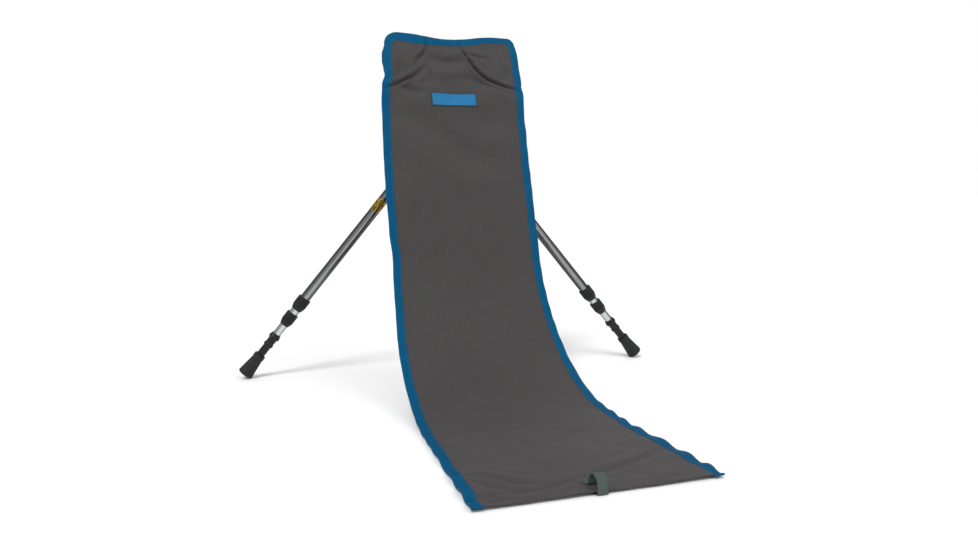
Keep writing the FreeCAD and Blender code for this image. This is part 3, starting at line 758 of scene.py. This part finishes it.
def sewn_lines(name, lines, material):
    """Stitches along lines of points."""
    verts, edges = [], []
    for line in lines:
        first = len(verts)
        verts += [tuple(point) for point in line]
        edges += [(first + step, first + step + 1) for step in range(len(line) - 1)]
    mesh = bpy.data.meshes.new(name)
    mesh.from_pydata(verts, edges, [])
    piece = add_object(name, mesh)
    values = sling()
    stitch_tree().apply(piece, Pitch=values.stitch_pitch, Length=values.stitch_length,
                        Thread=values.thread, Material=material)
    smooth(piece.data, 60)
    return piece


# --- the sling -------------------------------------------------------------------------------

def cloth_rows():
    """Distances from the top edge, close together where the cloth is creased."""
    top = np.linspace(0.4 * MM, 0.135, 108)
    middle = np.linspace(0.135, 0.86, 140)[1:]
    front = np.linspace(0.86, LENGTH - 0.5 * MM, 60)[1:]
    return np.concatenate([top, middle, front])


class CHAIR_OT_cloth(bpy.types.Operator):
    """Hang the body cloth, with its creases, hem and sag"""
    bl_idname = "chair.cloth"
    bl_label = "Body cloth"

    def execute(self, context):
        along = cloth_rows()
        columns = np.linspace(-1, 1, 150)
        left, right = (half_width(along, side) - edge_out(along, side) - 1 * MM for side in (-1, 1))
        across = np.where(columns[None, :] < 0, left[:, None], right[:, None]) * columns[None, :]
        down = np.repeat(along[:, None], len(columns), 1)
        hem = np.clip((along - (LENGTH - HEM)) / (1.5 * MM), 0, 1)[:, None] * 0.5 * MM
        points = cloth_point(across, down) + front_normal(shifted(across, down), down) * hem[..., None]
        mesh = grid_mesh("body_cloth", points, np.stack([across, down], -1))
        piece = add_object("body_cloth", mesh, cloth_material())
        smooth(mesh, 60)
        thicken(piece, sling().cloth_thick)
        blend_over_fold(piece)
        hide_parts("back_panel", "seat_panel", "front_hem")
        return {"FINISHED"}


def outline_stations(step):
    """Places along the bound edge, from the front left corner round the top to the front right."""
    def side_run(side):
        bend = corner_radius(side)
        turn = np.linspace(math.pi / 2, 0, max(4, int(bend * math.pi / 2 / step)) + 1)
        low = np.arange(LENGTH, bend, -step)
        along = np.concatenate([low, bend - bend * np.sin(turn[::-1])])
        out = np.concatenate([straight_half(low), TOP_HALF - bend + bend * np.cos(turn[::-1])])
        return np.stack([side * out, along], -1)
    left, right = side_run(-1), side_run(1)[::-1]
    top = np.arange(left[-1, 0] + step, right[0, 0] - step / 2, step)
    out = np.concatenate([left, np.stack([top, np.zeros(len(top))], -1), right])
    keep = np.concatenate([[True], np.linalg.norm(np.diff(out, axis=0), axis=1) > 0.3 * step])
    return out[keep]


def inward(stations):
    """The direction into the cloth at each place along its edge."""
    run = unit(np.gradient(stations, axis=0))
    return np.stack([-run[:, 1], run[:, 0]], -1)


def travelled(stations):
    return np.concatenate([[0], np.cumsum(np.linalg.norm(np.diff(stations, axis=0), axis=1))])


def tape_share(stations):
    """How wide the folded tape shows, as a share of its usual width: wide at the left of the top edge."""
    across, along = stations.T
    top = np.exp(-(along / (14 * MM)) ** 2)
    left = 0.3 * np.exp(-((across + 66 * MM) / (34 * MM)) ** 2)
    right = -0.2 * np.exp(-((across - 80 * MM) / (32 * MM)) ** 2)
    bulge = 0.16 * np.exp(-((along - 44 * MM) / (14 * MM)) ** 2) * (across < 0)
    return 1 + top * (left + right) + bulge


# Half of the folded tape's section in millimetres: in from the edge, and off the middle of the cloth.
TAPE_SECTION = [(-0.7, 0.0), (-0.5, 0.75), (0.3, 1.2), (2.0, 1.3), (6.0, 1.22), (9.2, 1.16), (10.4, 0.92),
                (11.4, 1.08), (12.3, 1.0), (12.6, 0.6)]


class CHAIR_OT_binding(bpy.types.Operator):
    """Fold the binding tape over the side and top edges"""
    bl_idname = "chair.binding"
    bl_label = "Edge binding"

    def execute(self, context):
        stations = outline_stations(2.2 * MM)
        into = inward(stations)
        run = travelled(stations)
        half = np.array(TAPE_SECTION) * MM
        section = np.vstack([half, (half * [1, -1])[::-1][:-1]])
        pucker = 1 + 0.16 * soft_noise(run, run * 0.2, 4, (7, 14))
        pucker = pucker + 0.12 * soft_noise(run, run * 0.3, 6, (16, 40))
        swell = tape_share(stations) + 0.10 * soft_noise(run, run * 0.3, 5, (15, 60))
        inset = section[:, 0][None, :] * swell[:, None]
        height = section[:, 1][None, :] * pucker[:, None]
        across = stations[:, :1] + into[:, :1] * inset
        along = stations[:, 1:] + into[:, 1:] * inset
        points = off_cloth(across, along, height)
        wrap = np.cumsum(np.linalg.norm(np.diff(section, axis=0, prepend=section[:1]), axis=1))
        uv = np.stack([np.broadcast_to(wrap, across.shape), np.broadcast_to(run[:, None], across.shape)], -1)
        mesh = tube_of_sections("edge_binding", points, uv)
        piece = add_object("edge_binding", mesh, tape_material("blue_binding", tuple(sling().tape_colour)))
        smooth(mesh, 40)
        blend_over_fold(piece)
        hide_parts("back_binding_left", "back_binding_right", "top_binding",
                    "seat_binding_left", "seat_binding_right")
        return {"FINISHED"}


def sewn_on(line, height):
    """Points off the cloth above a line of places on it."""
    return off_cloth(line[:, 0], line[:, 1], np.full(len(line), height))


class CHAIR_OT_stitching(bpy.types.Operator):
    """Sew the binding and the front hem"""
    bl_idname = "chair.stitching"
    bl_label = "Stitching"

    def execute(self, context):
        stations = outline_stations(1.6 * MM)
        line = stations + inward(stations) * 10.4 * MM
        lines = [sewn_on(line, height) for height in (1.0 * MM, -1.0 * MM)]
        colour = shade(tuple(sling().tape_colour), 1.6)
        binding = sewn_lines("binding_stitches", lines, thread_material("blue_thread", colour))
        blend_over_fold(binding)
        across = np.arange(-FRONT_HALF + BINDING, FRONT_HALF - BINDING, 1.6 * MM)
        line = np.stack([across, np.full(len(across), LENGTH - HEM - 0.5 * MM)], -1)
        top = sewn_on(line, sling().cloth_thick / 2 + 0.15 * MM)
        hem = sewn_lines("hem_stitches", [top], thread_material("grey_thread", (0.09, 0.085, 0.088)))
        fasten(hem, "seat", "sling_cloth")
        return {"FINISHED"}


class CHAIR_OT_label(bpy.types.Operator):
    """Sew a plain woven label on the back"""
    bl_idname = "chair.label"
    bl_label = "Label"

    def execute(self, context):
        width, height, middle, drop = 82 * MM, 26.5 * MM, -2 * MM, 115.5 * MM
        columns = np.linspace(-width / 2, width / 2, 55)
        rows = np.linspace(-height / 2, height / 2, 19)
        across, along = np.meshgrid(columns + middle, rows + drop)
        edge = np.minimum(width / 2 - np.abs(across - middle), height / 2 - np.abs(along - drop))
        lift = sling().cloth_thick / 2 + 0.35 * MM + 0.25 * MM * np.clip(edge / (2 * MM), 0, 1)
        points = off_cloth(across, along, lift)
        mesh = grid_mesh("label", points, np.stack([across - middle, along - drop], -1))
        piece = add_object("label", mesh, label_material())
        smooth(mesh, 60)
        thicken(piece, 0.45 * MM)
        fasten(piece, "backrest", "label_cloth", "label_patch")
        inset = 1.8 * MM
        corners = [(-1, -1), (1, -1), (1, 1), (-1, 1), (-1, -1)]
        line = []
        for (x0, y0), (x1, y1) in zip(corners, corners[1:]):
            for part in np.linspace(0, 1, 30, endpoint=False):
                line.append((middle + (x0 + (x1 - x0) * part) * (width / 2 - inset),
                             drop + (y0 + (y1 - y0) * part) * (height / 2 - inset)))
        sewn = sewn_on(np.array(line), sling().cloth_thick / 2 + 0.95 * MM)
        stitches = sewn_lines("label_stitches", [sewn], thread_material("label_thread", (0.0, 0.12, 0.3)))
        fasten(stitches, "backrest", "label_cloth")
        return {"FINISHED"}


def tape_along(name, path, side, width, thickness, material, crown=0.12):
    """A flat tape along a path of points; side is the direction of its width."""
    path = np.asarray(path, float)
    side = np.broadcast_to(np.asarray(side, float), path.shape)
    out = unit(np.cross(side, unit(np.gradient(path, axis=0))))
    half = [(-0.5, 0.0), (-0.49, 0.35), (-0.44, 0.5), (-0.2, 0.5 + crown / 2), (0.0, 0.5 + crown),
            (0.2, 0.5 + crown / 2), (0.44, 0.5), (0.49, 0.35), (0.5, 0.0)]
    section = np.array(half + [(x, -0.5 if abs(x) < 0.45 else -y) for x, y in half[-2:0:-1]])
    sections = (path[:, None] + side[:, None] * (section[None, :, :1] * width)
                + out[:, None] * (section[None, :, 1:] * thickness))
    uv = np.stack([np.broadcast_to(section[:, 0] * width, sections.shape[:2]),
                   np.broadcast_to(travelled(path)[:, None], sections.shape[:2])], -1)
    mesh = tube_of_sections(name, sections, uv)
    piece = add_object(name, mesh, material)
    smooth(mesh, 40)
    return piece


def evenly(line, count):
    """Points spaced evenly along a line of points."""
    run = travelled(line)
    even = np.linspace(0, run[-1], count)
    return np.stack([np.interp(even, run, column) for column in line.T], -1)


def curve_through(points, count):
    """Evenly spaced points on a smooth line through a few given ones."""
    points = np.array(points, float)
    padded = np.vstack([2 * points[0] - points[1], points, 2 * points[-1] - points[-2]])
    out = []
    for before, start, stop, after in zip(padded, padded[1:], padded[2:], padded[3:]):
        for part in np.linspace(0, 1, 24, endpoint=False):
            out.append(0.5 * (2 * start + (stop - before) * part
                              + (2 * before - 5 * start + 4 * stop - after) * part ** 2
                              + (3 * start - before - 3 * stop + after) * part ** 3))
    return evenly(np.array(out + [points[-1]]), count)


class CHAIR_OT_loop(bpy.types.Operator):
    """Sew the tie loop round the front hem"""
    bl_idname = "chair.loop"
    bl_label = "Tie loop"

    def execute(self, context):
        # In from the front edge and up from the floor, millimetres.
        route = [(8, 0.9), (3, 0.8), (-1.2, 1.6), (-1.7, 5.0), (-1.3, 12), (1.8, 18), (7, 21),
                 (12.4, 18.8), (15, 13), (15.8, 8.8), (17.6, 6.2), (22, 5.3), (29, 5.2)]
        middle, drift = -3 * MM, 0.15 * MM
        points = [(middle - drift * max(back - 1, 0), FRONT_EDGE + back * MM, up * MM) for back, up in route]
        path = curve_through(points, 90)
        material = tape_material("loop_webbing", tuple(sling().loop_colour), 700)
        piece = tape_along("tie_loop", path, (1, 0, 0), 12.5 * MM, 1.3 * MM, material)
        fasten(piece, "seat", "loop_webbing", "rollup_loop")
        lines = [[(middle + side - drift * (back - 1), FRONT_EDGE + back * MM, 6.1 * MM)
                  for back in (22, 24, 26, 28)] for side in (-4.6 * MM, 4.6 * MM)]
        bars = sewn_lines("loop_stitches", lines, thread_material("loop_thread", (0.05, 0.07, 0.065)))
        fasten(bars, "seat", "loop_webbing")
        return {"FINISHED"}


# --- rear pockets and strap ----------------------------------------------------------------------

class Pole:
    """A pole's axis, from the frame: its foot's end, and the direction up to its grip."""

    def __init__(self, side):
        self.side = side
        joint = next(j for j in frame["joints"] if j["name"] == side + "_middle_twist")
        self.up = np.array(joint["axis"], float)
        through = np.array(joint["pos_m"], float)
        self.foot = through   # spread_of measures from here until the foot's end is known
        self.foot = through + self.up * self.spread_of("rubber_foot")[0]

    def spread_of(self, node):
        """How far along the axis a node of this pole reaches, and its largest radius."""
        mesh = frame["nodes"][self.side + "_" + node].data
        verts = np.array([v.co for v in mesh.vertices], float) - self.foot
        along = verts @ self.up
        radius = np.linalg.norm(verts - along[:, None] * self.up, axis=1)
        return along.min(), along.max(), radius.max()

    def at(self, along):
        return self.foot + self.up * along

    def round_axes(self):
        """Two directions square to the axis and to each other."""
        across = unit(np.cross([0, 1, 0], self.up))
        return across, np.cross(self.up, across)

    def fasten(self, piece, node, body, slot_name):
        return fasten(piece, self.side + "_" + body, slot_name, self.side + "_" + node)


def taut_over(start, stop, centre, radius, count):
    """A taut line from start over a round bar to stop, in the plane of the section."""
    def tangent(point, turn):
        away = centre - point
        distance = np.linalg.norm(away)
        angle = math.atan2(away[1], away[0]) + turn * math.asin(min(0.999, radius / distance))
        reach = math.sqrt(max(distance ** 2 - radius ** 2, 0))
        return point + reach * np.array([math.cos(angle), math.sin(angle)])
    first, last = tangent(start, 1), tangent(stop, -1)
    begin = math.atan2(*(first - centre)[::-1])
    end = math.atan2(*(last - centre)[::-1])
    if begin < end:
        begin += 2 * math.pi
    arc = [centre + radius * np.array([math.cos(a), math.sin(a)]) for a in np.linspace(begin, end, 24)]
    line = np.array([start, *arc, stop])
    return evenly(line, count)


def pocket_mesh(pole, side):
    """A corner pocket: a cloth patch from the side edge over the grip's end to the top edge."""
    depth, inset, behind = 72 * MM, 4.5 * MM, np.array(-0.8 * MM)
    round_grip, least = 16.4 * MM, 0.6 * MM   # radius the cloth lies at
    lean_in = math.acos(pole.up[2])
    grip_end = pole.at(pole.spread_of("grip_cap")[1])
    corner = cloth_point(side * TOP_HALF * 0.97, 3 * MM)
    columns = 41
    rows, places = [], []
    for reach in np.linspace(7 * MM, depth, 34):
        low = (side * (TOP_HALF + 1 * MM * reach / depth - inset), max(inset, reach / math.cos(lean_in)))
        high = (side * (TOP_HALF - reach / math.sin(lean_in)), inset)
        low3, high3 = (off_cloth(np.array(x), np.array(y), behind) for x, y in (low, high))
        axis_point = grip_end - pole.up * (reach - np.dot(corner - grip_end, pole.up))
        over = unit(high3 - low3)
        rear = unit(np.cross(over, pole.up))
        plane = np.array([over, rear if rear[1] > 0 else -rear])
        stop = plane @ (high3 - low3)
        centre = plane @ (axis_point - low3)
        before_end = np.dot(grip_end - axis_point, pole.up)
        dome = np.clip((before_end + 9 * MM) / (20 * MM), 0, 1)
        radius = round_grip * math.sin(dome * math.pi / 2)
        rim = min(np.linalg.norm(centre), np.linalg.norm(centre - stop))
        radius = max(least, min(radius, 0.9 * rim))
        if radius < 3 * MM:
            centre = centre * [1, 0.25]
        rows.append(low3 + taut_over(np.zeros(2), stop, centre, radius, columns) @ plane)
        places.append(np.linspace(low, high, columns))
    return np.array(rows), np.array(places)


class CHAIR_OT_pockets(bpy.types.Operator):
    """Sew a pocket for a grip on each rear top corner"""
    bl_idname = "chair.pockets"
    bl_label = "Rear pockets"

    def execute(self, context):
        material = cloth_material()
        tape = tape_material("pocket_tape", (0.022, 0.022, 0.024), 700)
        for pole_side, corner in (("left", 1), ("right", -1)):
            name = ("right" if corner > 0 else "left") + "_pocket"
            points, places = pocket_mesh(Pole(pole_side), corner)
            mesh = grid_mesh(name + "_cloth", points, places)
            piece = add_object(name + "_cloth", mesh, material)
            smooth(mesh, 60)
            thicken(piece, 0.8 * MM)
            fasten(piece, "backrest", "pocket_cloth", name)
            away = unit(points[-1] - points[-4])
            hem = tape_along(name + "_hem", points[-1] - away * 4 * MM, away, 9 * MM, 1.9 * MM, tape)
            fasten(hem, "backrest", "strap_webbing")
        return {"FINISHED"}


class CHAIR_OT_strap(bpy.types.Operator):
    """Sew the strap that keeps the crossed poles together"""
    bl_idname = "chair.strap"
    bl_label = "Pole strap"

    def execute(self, context):
        low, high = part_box("pole_strap")
        level = (low.z + high.z) / 2
        inset = 0.8 * MM
        middle, half = (low.x + high.x) / 2, (high.x - low.x) / 2 - inset
        rear = high.y - inset
        drop = (TOP_BACK.z - level) / math.cos(LEAN)
        bend = 7 * MM

        def on_rear(across):
            return off_cloth(np.array(middle + across), np.array(drop), np.array(-2.8 * MM))

        near = on_rear(half + bend)[1]
        over = [(half + 1 * MM, near + bend), (half, near + 3 * bend), (half, rear - bend),
                (half - bend, rear - 0.5 * MM)]
        route = [on_rear(-half - reach) for reach in (24 * MM, 16 * MM, bend)]
        route += [(middle - x, y, level) for x, y in over] + [(middle, rear, level)]
        route += [(middle + x, y, level) for x, y in over[::-1]]
        route += [on_rear(half + reach) for reach in (bend, 16 * MM, 24 * MM)]
        path = curve_through(route, 130)
        material = tape_material("strap_webbing", (0.02, 0.02, 0.022), 520)
        across = np.tile([0.0, 0.0, 1.0], (len(path), 1))
        flat = np.clip((near + bend - path[:, 1]) / bend, 0, 1)
        across[:, 1] = flat * math.tan(LEAN)
        width = high.z - low.z - 1 * MM
        piece = tape_along("crossing_strap", path, unit(across), width, 1.5 * MM, material, 0.05)
        fasten(piece, "backrest", "strap_webbing", "pole_strap")
        return {"FINISHED"}


# --- poles -----------------------------------------------------------------------------------

def softened(outline, radius, steps=4):
    """Round the corners of an outline of (radius, along) points."""
    points = np.array(outline, float)
    out = [points[0]]
    for before, corner, after in zip(points, points[1:], points[2:]):
        first, second = before - corner, after - corner
        a, b = np.linalg.norm(first), np.linalg.norm(second)
        cut = min(radius, a * 0.45, b * 0.45)
        start, stop = corner + first / a * cut, corner + second / b * cut
        for part in np.linspace(0, 1, steps + 1):
            out.append((1 - part) ** 2 * start + 2 * part * (1 - part) * corner + part ** 2 * stop)
    out.append(points[-1])
    return np.array(out)


def turned(name, pole, outline, material, carve=None, closed=False):
    """A turned piece on a pole's axis. carve(radius, along, angle) may change the radius."""
    outline = np.asarray(outline, float)
    angles = np.linspace(0, 2 * math.pi, poles().facets, endpoint=False)
    radius = np.repeat(outline[:, :1], len(angles), 1)
    along = np.repeat(outline[:, 1:], len(angles), 1)
    if carve is not None:
        radius = carve(radius, along, angles[None, :])
    across, back = pole.round_axes()
    spokes = np.cos(angles)[:, None] * across + np.sin(angles)[:, None] * back
    points = pole.foot + radius[..., None] * spokes + along[..., None] * pole.up
    mesh = grid_mesh(name, points, close_rows=closed, close_columns=True, caps=not closed)
    recalculate(mesh)
    piece = add_object(name, mesh, material)
    smooth(mesh, 32)
    return piece


def ring_outline(inner, outer, start, stop, edge):
    """A tube wall's section, from the middle of its bore round to just short of where it began."""
    middle = (start + stop) / 2
    return softened([(inner, middle), (inner, start), (outer, start), (outer, stop), (inner, stop),
                     (inner, middle + 1e-6)], edge)


def collar(pole, node, body, material):
    """A collar with ribs for the fingers, a plain shoulder ring and a tapered lower end."""
    start, stop, outside = pole.spread_of(node)
    inner = outside - 3.4 * MM
    ribs = poles().collar_ribs

    def carve(radius, along, angle):
        band = np.clip((along - start - 9 * MM) / MM, 0, 1) * np.clip((stop - 4 * MM - along) / MM, 0, 1)
        groove = np.clip(np.cos(angle * ribs) * 1.6 - 0.2, 0, 1)
        on_skin = np.clip((radius - inner) / (2 * MM), 0, 1)
        return radius - 0.75 * MM * band * groove * on_skin

    ribbed = outside - 0.1 * MM
    skin = [(inner, start), (outside - 3.0 * MM, start), (outside - 1.2 * MM, start + 5 * MM)]
    skin += [(ribbed, start + (9 + step) * MM) for step in range(12)]
    skin += [(ribbed, stop - 4 * MM), (outside, stop - 3.4 * MM), (outside, stop - 0.8 * MM),
             (outside - 0.8 * MM, stop), (inner, stop)]
    name = "%s_%s_moulding" % (pole.side, node)
    piece = turned(name, pole, softened(skin, 0.7 * MM, 3), material, carve, closed=True)
    pole.fasten(piece, node, body, "black_plastic")


class CHAIR_OT_poles(bpy.types.Operator):
    """Turn the poles' tubes, collars, ferrules, feet and grips"""
    bl_idname = "chair.poles"
    bl_label = "Poles"

    def execute(self, context):
        plastic = plastic_material("black_plastic", tuple(poles().plastic_colour), 0.42)
        rubber = plastic_material("foot_rubber", (0.013, 0.0135, 0.014), 0.62, 1100, 0.0001)
        # both tubes get painted reflections: bright stripes down the middle of the face, darker edges
        dark = tube_material("dark_tube", tuple(poles().tube_colour), 0.18, 0.2, DARK_PAINTED_REFLECTIONS)
        bare = tube_material("bare_tube", tuple(poles().bare_colour), 0.24, 0.25, BRIGHT_PAINTED_REFLECTIONS)
        mark = mark_material(tuple(poles().mark_colour))
        foam = foam_material()
        for side in ("left", "right"):
            pole = Pole(side)
            self.tubes(pole, dark, bare, mark)
            self.ferrule(pole, plastic)
            self.foot(pole, rubber)
            collar(pole, "middle_collar", "pole_middle", plastic)
            collar(pole, "upper_collar", "pole_upper", plastic)
            self.grip(pole, foam, plastic)
            self.locks(pole)
        return {"FINISHED"}

    def tubes(self, pole, dark, bare, mark):
        for node, body, name, wall, edge, material, slot_name in (
                ("lower_tube", "pole_lower", "lower_tube_wall", 1.0, 0.2, bare, "bare_tube"),
                ("middle_tube", "pole_middle", "middle_tube_wall", 0.92, 0.2, bare, "bare_tube"),
                ("upper_tube", "pole_upper", "upper_tube_wall", 0.92, 0.2, dark, "dark_tube"),
                ("tube_band", "pole_upper", "ring_mark", 0.2, 0.1, mark, "gold_mark")):
            start, stop, outside = pole.spread_of(node)
            outline = ring_outline(outside - wall * MM, outside, start, stop, edge * MM)
            piece = turned(pole.side + "_" + name, pole, outline, material, closed=True)
            pole.fasten(piece, node, body, slot_name)

    def ferrule(self, pole, plastic):
        start, stop, outside = pole.spread_of("ferrule")
        rim = pole.spread_of("rubber_foot")[1]
        neck = 7.0 * MM
        outline = [(0.0, start), (4.3 * MM, start), (6.0 * MM, rim - 2 * MM), (neck, rim + 1 * MM),
                   (neck, rim + 19 * MM), (8.6 * MM, rim + 20.5 * MM), (8.6 * MM, rim + 24 * MM),
                   (7.3 * MM, rim + 26 * MM), (7.9 * MM, stop - 11 * MM), (outside, stop - 9 * MM),
                   (outside, stop - 6.4 * MM), (8.4 * MM, stop - 1 * MM), (7.4 * MM, stop),
                   (7.0 * MM, stop), (7.0 * MM, stop - 8 * MM), (0.0, stop - 8 * MM)]

        def carve(radius, along, angle):
            ring = np.clip(1 - np.abs(along - rim - 22.2 * MM) / (3 * MM), 0, 1)
            return radius - 1.1 * MM * ring * np.clip(-np.cos(angle * 2) * 2, 0, 1)

        piece = turned(pole.side + "_tip_holder", pole, softened(outline, 0.5 * MM, 3), plastic, carve)
        pole.fasten(piece, "ferrule", "pole_lower", "black_plastic")

    def foot(self, pole, rubber):
        _, stop, base = pole.spread_of("rubber_foot")
        outline = [(0.0, 0.0), (base - 3 * MM, 0.0), (base - 0.7 * MM, 1.0 * MM), (base, 3.2 * MM)]
        for ring in range(3):
            low = (4.6 + ring * 2.6) * MM
            outline += [(base - (inset + ring * 0.35) * MM, low + up * MM)
                        for inset, up in ((0.2, 0.0), (0.75, 0.7), (0.4, 1.4))]
        outline += [(9.5 * MM, stop - 8.6 * MM), (10.2 * MM, stop - 7.4 * MM), (10.2 * MM, stop - 0.8 * MM),
                    (9.6 * MM, stop), (6.7 * MM, stop), (5.4 * MM, stop - 22 * MM), (4.8 * MM, 11 * MM),
                    (2.4 * MM, 10 * MM), (2.3 * MM, 3.6 * MM), (0.0, 3.6 * MM)]
        piece = turned(pole.side + "_foot", pole, softened(outline, 0.4 * MM, 3), rubber)
        pole.fasten(piece, "rubber_foot", "foot", "foot_rubber")

    def grip(self, pole, foam, plastic):
        start, stop, outside = pole.spread_of("grip")
        tube = pole.spread_of("upper_tube")[2]
        outline = [(tube, start), (11 * MM, start), (12.8 * MM, start + 3.5 * MM),
                   (12.8 * MM, start + 11 * MM), (12.0 * MM, start + 13 * MM)]
        for ridge in range(7):
            low = start + (17 + ridge * 5.2) * MM
            outline += [(12.9 * MM, low), (13.7 * MM, low + 1.4 * MM), (13.7 * MM, low + 3.2 * MM),
                        (12.9 * MM, low + 4.4 * MM)]
        outline += [(13.4 * MM, start + 60 * MM), (outside, stop - 12 * MM), (outside, stop - 2 * MM),
                    (outside - 1 * MM, stop), (tube, stop)]
        piece = turned(pole.side + "_foam_grip", pole, softened(outline, 1.0 * MM, 3), foam, closed=True)
        pole.fasten(piece, "grip", "pole_upper", "grip_foam")
        start, stop, outside = pole.spread_of("grip_cap")
        outline = [(0.0, start), (outside, start), (outside, start + 2 * MM), (12.6 * MM, start + 5 * MM),
                   (8 * MM, stop - 0.4 * MM), (0.0, stop)]
        piece = turned(pole.side + "_cap", pole, softened(outline, 1.6 * MM, 5), plastic)
        pole.fasten(piece, "grip_cap", "pole_upper", "black_plastic")

    def locks(self, pole):
        red = plastic_material("lock_plastic", (0.35, 0.03, 0.025), 0.4)
        # the lock screws and carbide tips also get the tube's painted reflections
        steel = tube_material("lock_screw", (0.5, 0.5, 0.5), 0.3)
        carbide = tube_material("carbide", (0.4, 0.4, 0.41), 0.4)
        for node, material in (("upper_expander", red), ("lower_expander", red),
                               ("upper_lock_screw", steel), ("lower_lock_screw", steel),
                               ("carbide_tip", carbide)):
            mesh = frame["nodes"][pole.side + "_" + node].data
            mesh.materials.clear()
            mesh.materials.append(material)


# --- stage -----------------------------------------------------------------------------------

class CHAIR_OT_stage(bpy.types.Operator):
    """Lay the floor, hang the lights and set the camera"""
    bl_idname = "chair.stage"
    bl_label = "Stage"

    def execute(self, context):
        self.floor()
        self.lights(context)
        self.camera(context)
        return {"FINISHED"}

    def floor(self):
        reach = 40.0
        mesh = bpy.data.meshes.new("floor")
        mesh.from_pydata([(-reach, -reach, 0), (reach, -reach, 0), (reach, reach, 0), (-reach, reach, 0)],
                         [], [(0, 1, 2, 3)])
        add_object("floor", mesh, floor_material())

    def lights(self, context):
        world = context.scene.world or bpy.data.worlds.new("studio")
        context.scene.world = world
        world.use_nodes = True
        tree = world.node_tree
        tree.nodes.clear()
        output = tree.nodes.new("ShaderNodeOutputWorld")
        mix = tree.nodes.new("ShaderNodeMixShader")
        seen = tree.nodes.new("ShaderNodeLightPath")
        values = context.scene.chair_stage
        for slot, strength in ((1, values.ambient), (2, 1.0)):
            sky = tree.nodes.new("ShaderNodeBackground")
            sky.inputs["Color"].default_value = (1, 1, 1, 1)
            sky.inputs["Strength"].default_value = strength
            tree.links.new(sky.outputs[0], mix.inputs[slot])
        tree.links.new(seen.outputs["Is Camera Ray"], mix.inputs[0])
        tree.links.new(mix.outputs[0], output.inputs[0])
        for name, spot, size, power in (("key", (-0.45, -0.5, 1.0), 22, values.key),
                                        ("fill", (0.8, -0.9, 0.75), 45, values.fill),
                                        ("back", (0.3, 0.9, 0.9), 45, values.fill * 0.5)):
            light = bpy.data.lights.new(name, "SUN")
            light.angle = math.radians(size)
            light.energy = power
            lamp = bpy.data.objects.new(name, light)
            context.scene.collection.objects.link(lamp)
            lamp.location = spot
            lamp.rotation_euler = (-Vector(spot)).to_track_quat("-Z", "Y").to_euler()

    def camera(self, context):
        values = context.scene.chair_stage
        data = bpy.data.cameras.new("camera")
        data.lens = values.lens
        data.sensor_width = 36.0
        data.shift_x = values.shift_x
        data.shift_y = values.shift_y
        camera = bpy.data.objects.new("camera", data)
        context.scene.collection.objects.link(camera)
        turn, tilt = values.azimuth, values.elevation
        back = Vector((math.sin(turn) * math.cos(tilt), -math.cos(turn) * math.cos(tilt), math.sin(tilt)))
        level = Vector((math.cos(turn), math.sin(turn), 0))
        over = back.cross(level)
        right = level * math.cos(values.roll) + over * math.sin(values.roll)
        up = over * math.cos(values.roll) - level * math.sin(values.roll)
        aim = Vector((0, TOP_BACK.y, 0.2))
        pose = Matrix((right, up, back)).transposed().to_4x4()
        pose.translation = aim + back * values.distance
        camera.matrix_world = pose
        context.scene.camera = camera
        context.scene.view_settings.view_transform = "Standard"


class CHAIR_PT_panel(bpy.types.Panel):
    """The chair's pieces and sizes"""
    bl_label = "Backpacking chair"
    bl_idname = "CHAIR_PT_panel"
    bl_space_type = "VIEW_3D"
    bl_region_type = "UI"
    bl_category = "Chair"

    def draw(self, context):
        for group in SETTINGS:
            values = getattr(context.scene, group)
            column = self.layout.column(heading=values.bl_rna.name)
            for label in values.__annotations__:
                column.prop(values, label)
        for operator in OPERATORS:
            self.layout.operator(operator.bl_idname)


OPERATORS = (CHAIR_OT_stage, CHAIR_OT_cloth, CHAIR_OT_binding, CHAIR_OT_stitching, CHAIR_OT_label,
             CHAIR_OT_loop, CHAIR_OT_pockets, CHAIR_OT_strap, CHAIR_OT_poles)


def register():
    for kind in (*SETTINGS.values(), *OPERATORS, CHAIR_PT_panel):
        bpy.utils.register_class(kind)
    for name, kind in SETTINGS.items():
        setattr(bpy.types.Scene, name, PointerProperty(type=kind))


def unregister():
    for name in SETTINGS:
        delattr(bpy.types.Scene, name)
    for kind in (CHAIR_PT_panel, *OPERATORS[::-1], *SETTINGS.values()):
        bpy.utils.unregister_class(kind)


def main():
    register()
    for operator in OPERATORS:
        group, name = operator.bl_idname.split(".")
        getattr(getattr(bpy.ops, group), name)()


if __name__ == "__main__":
    main()
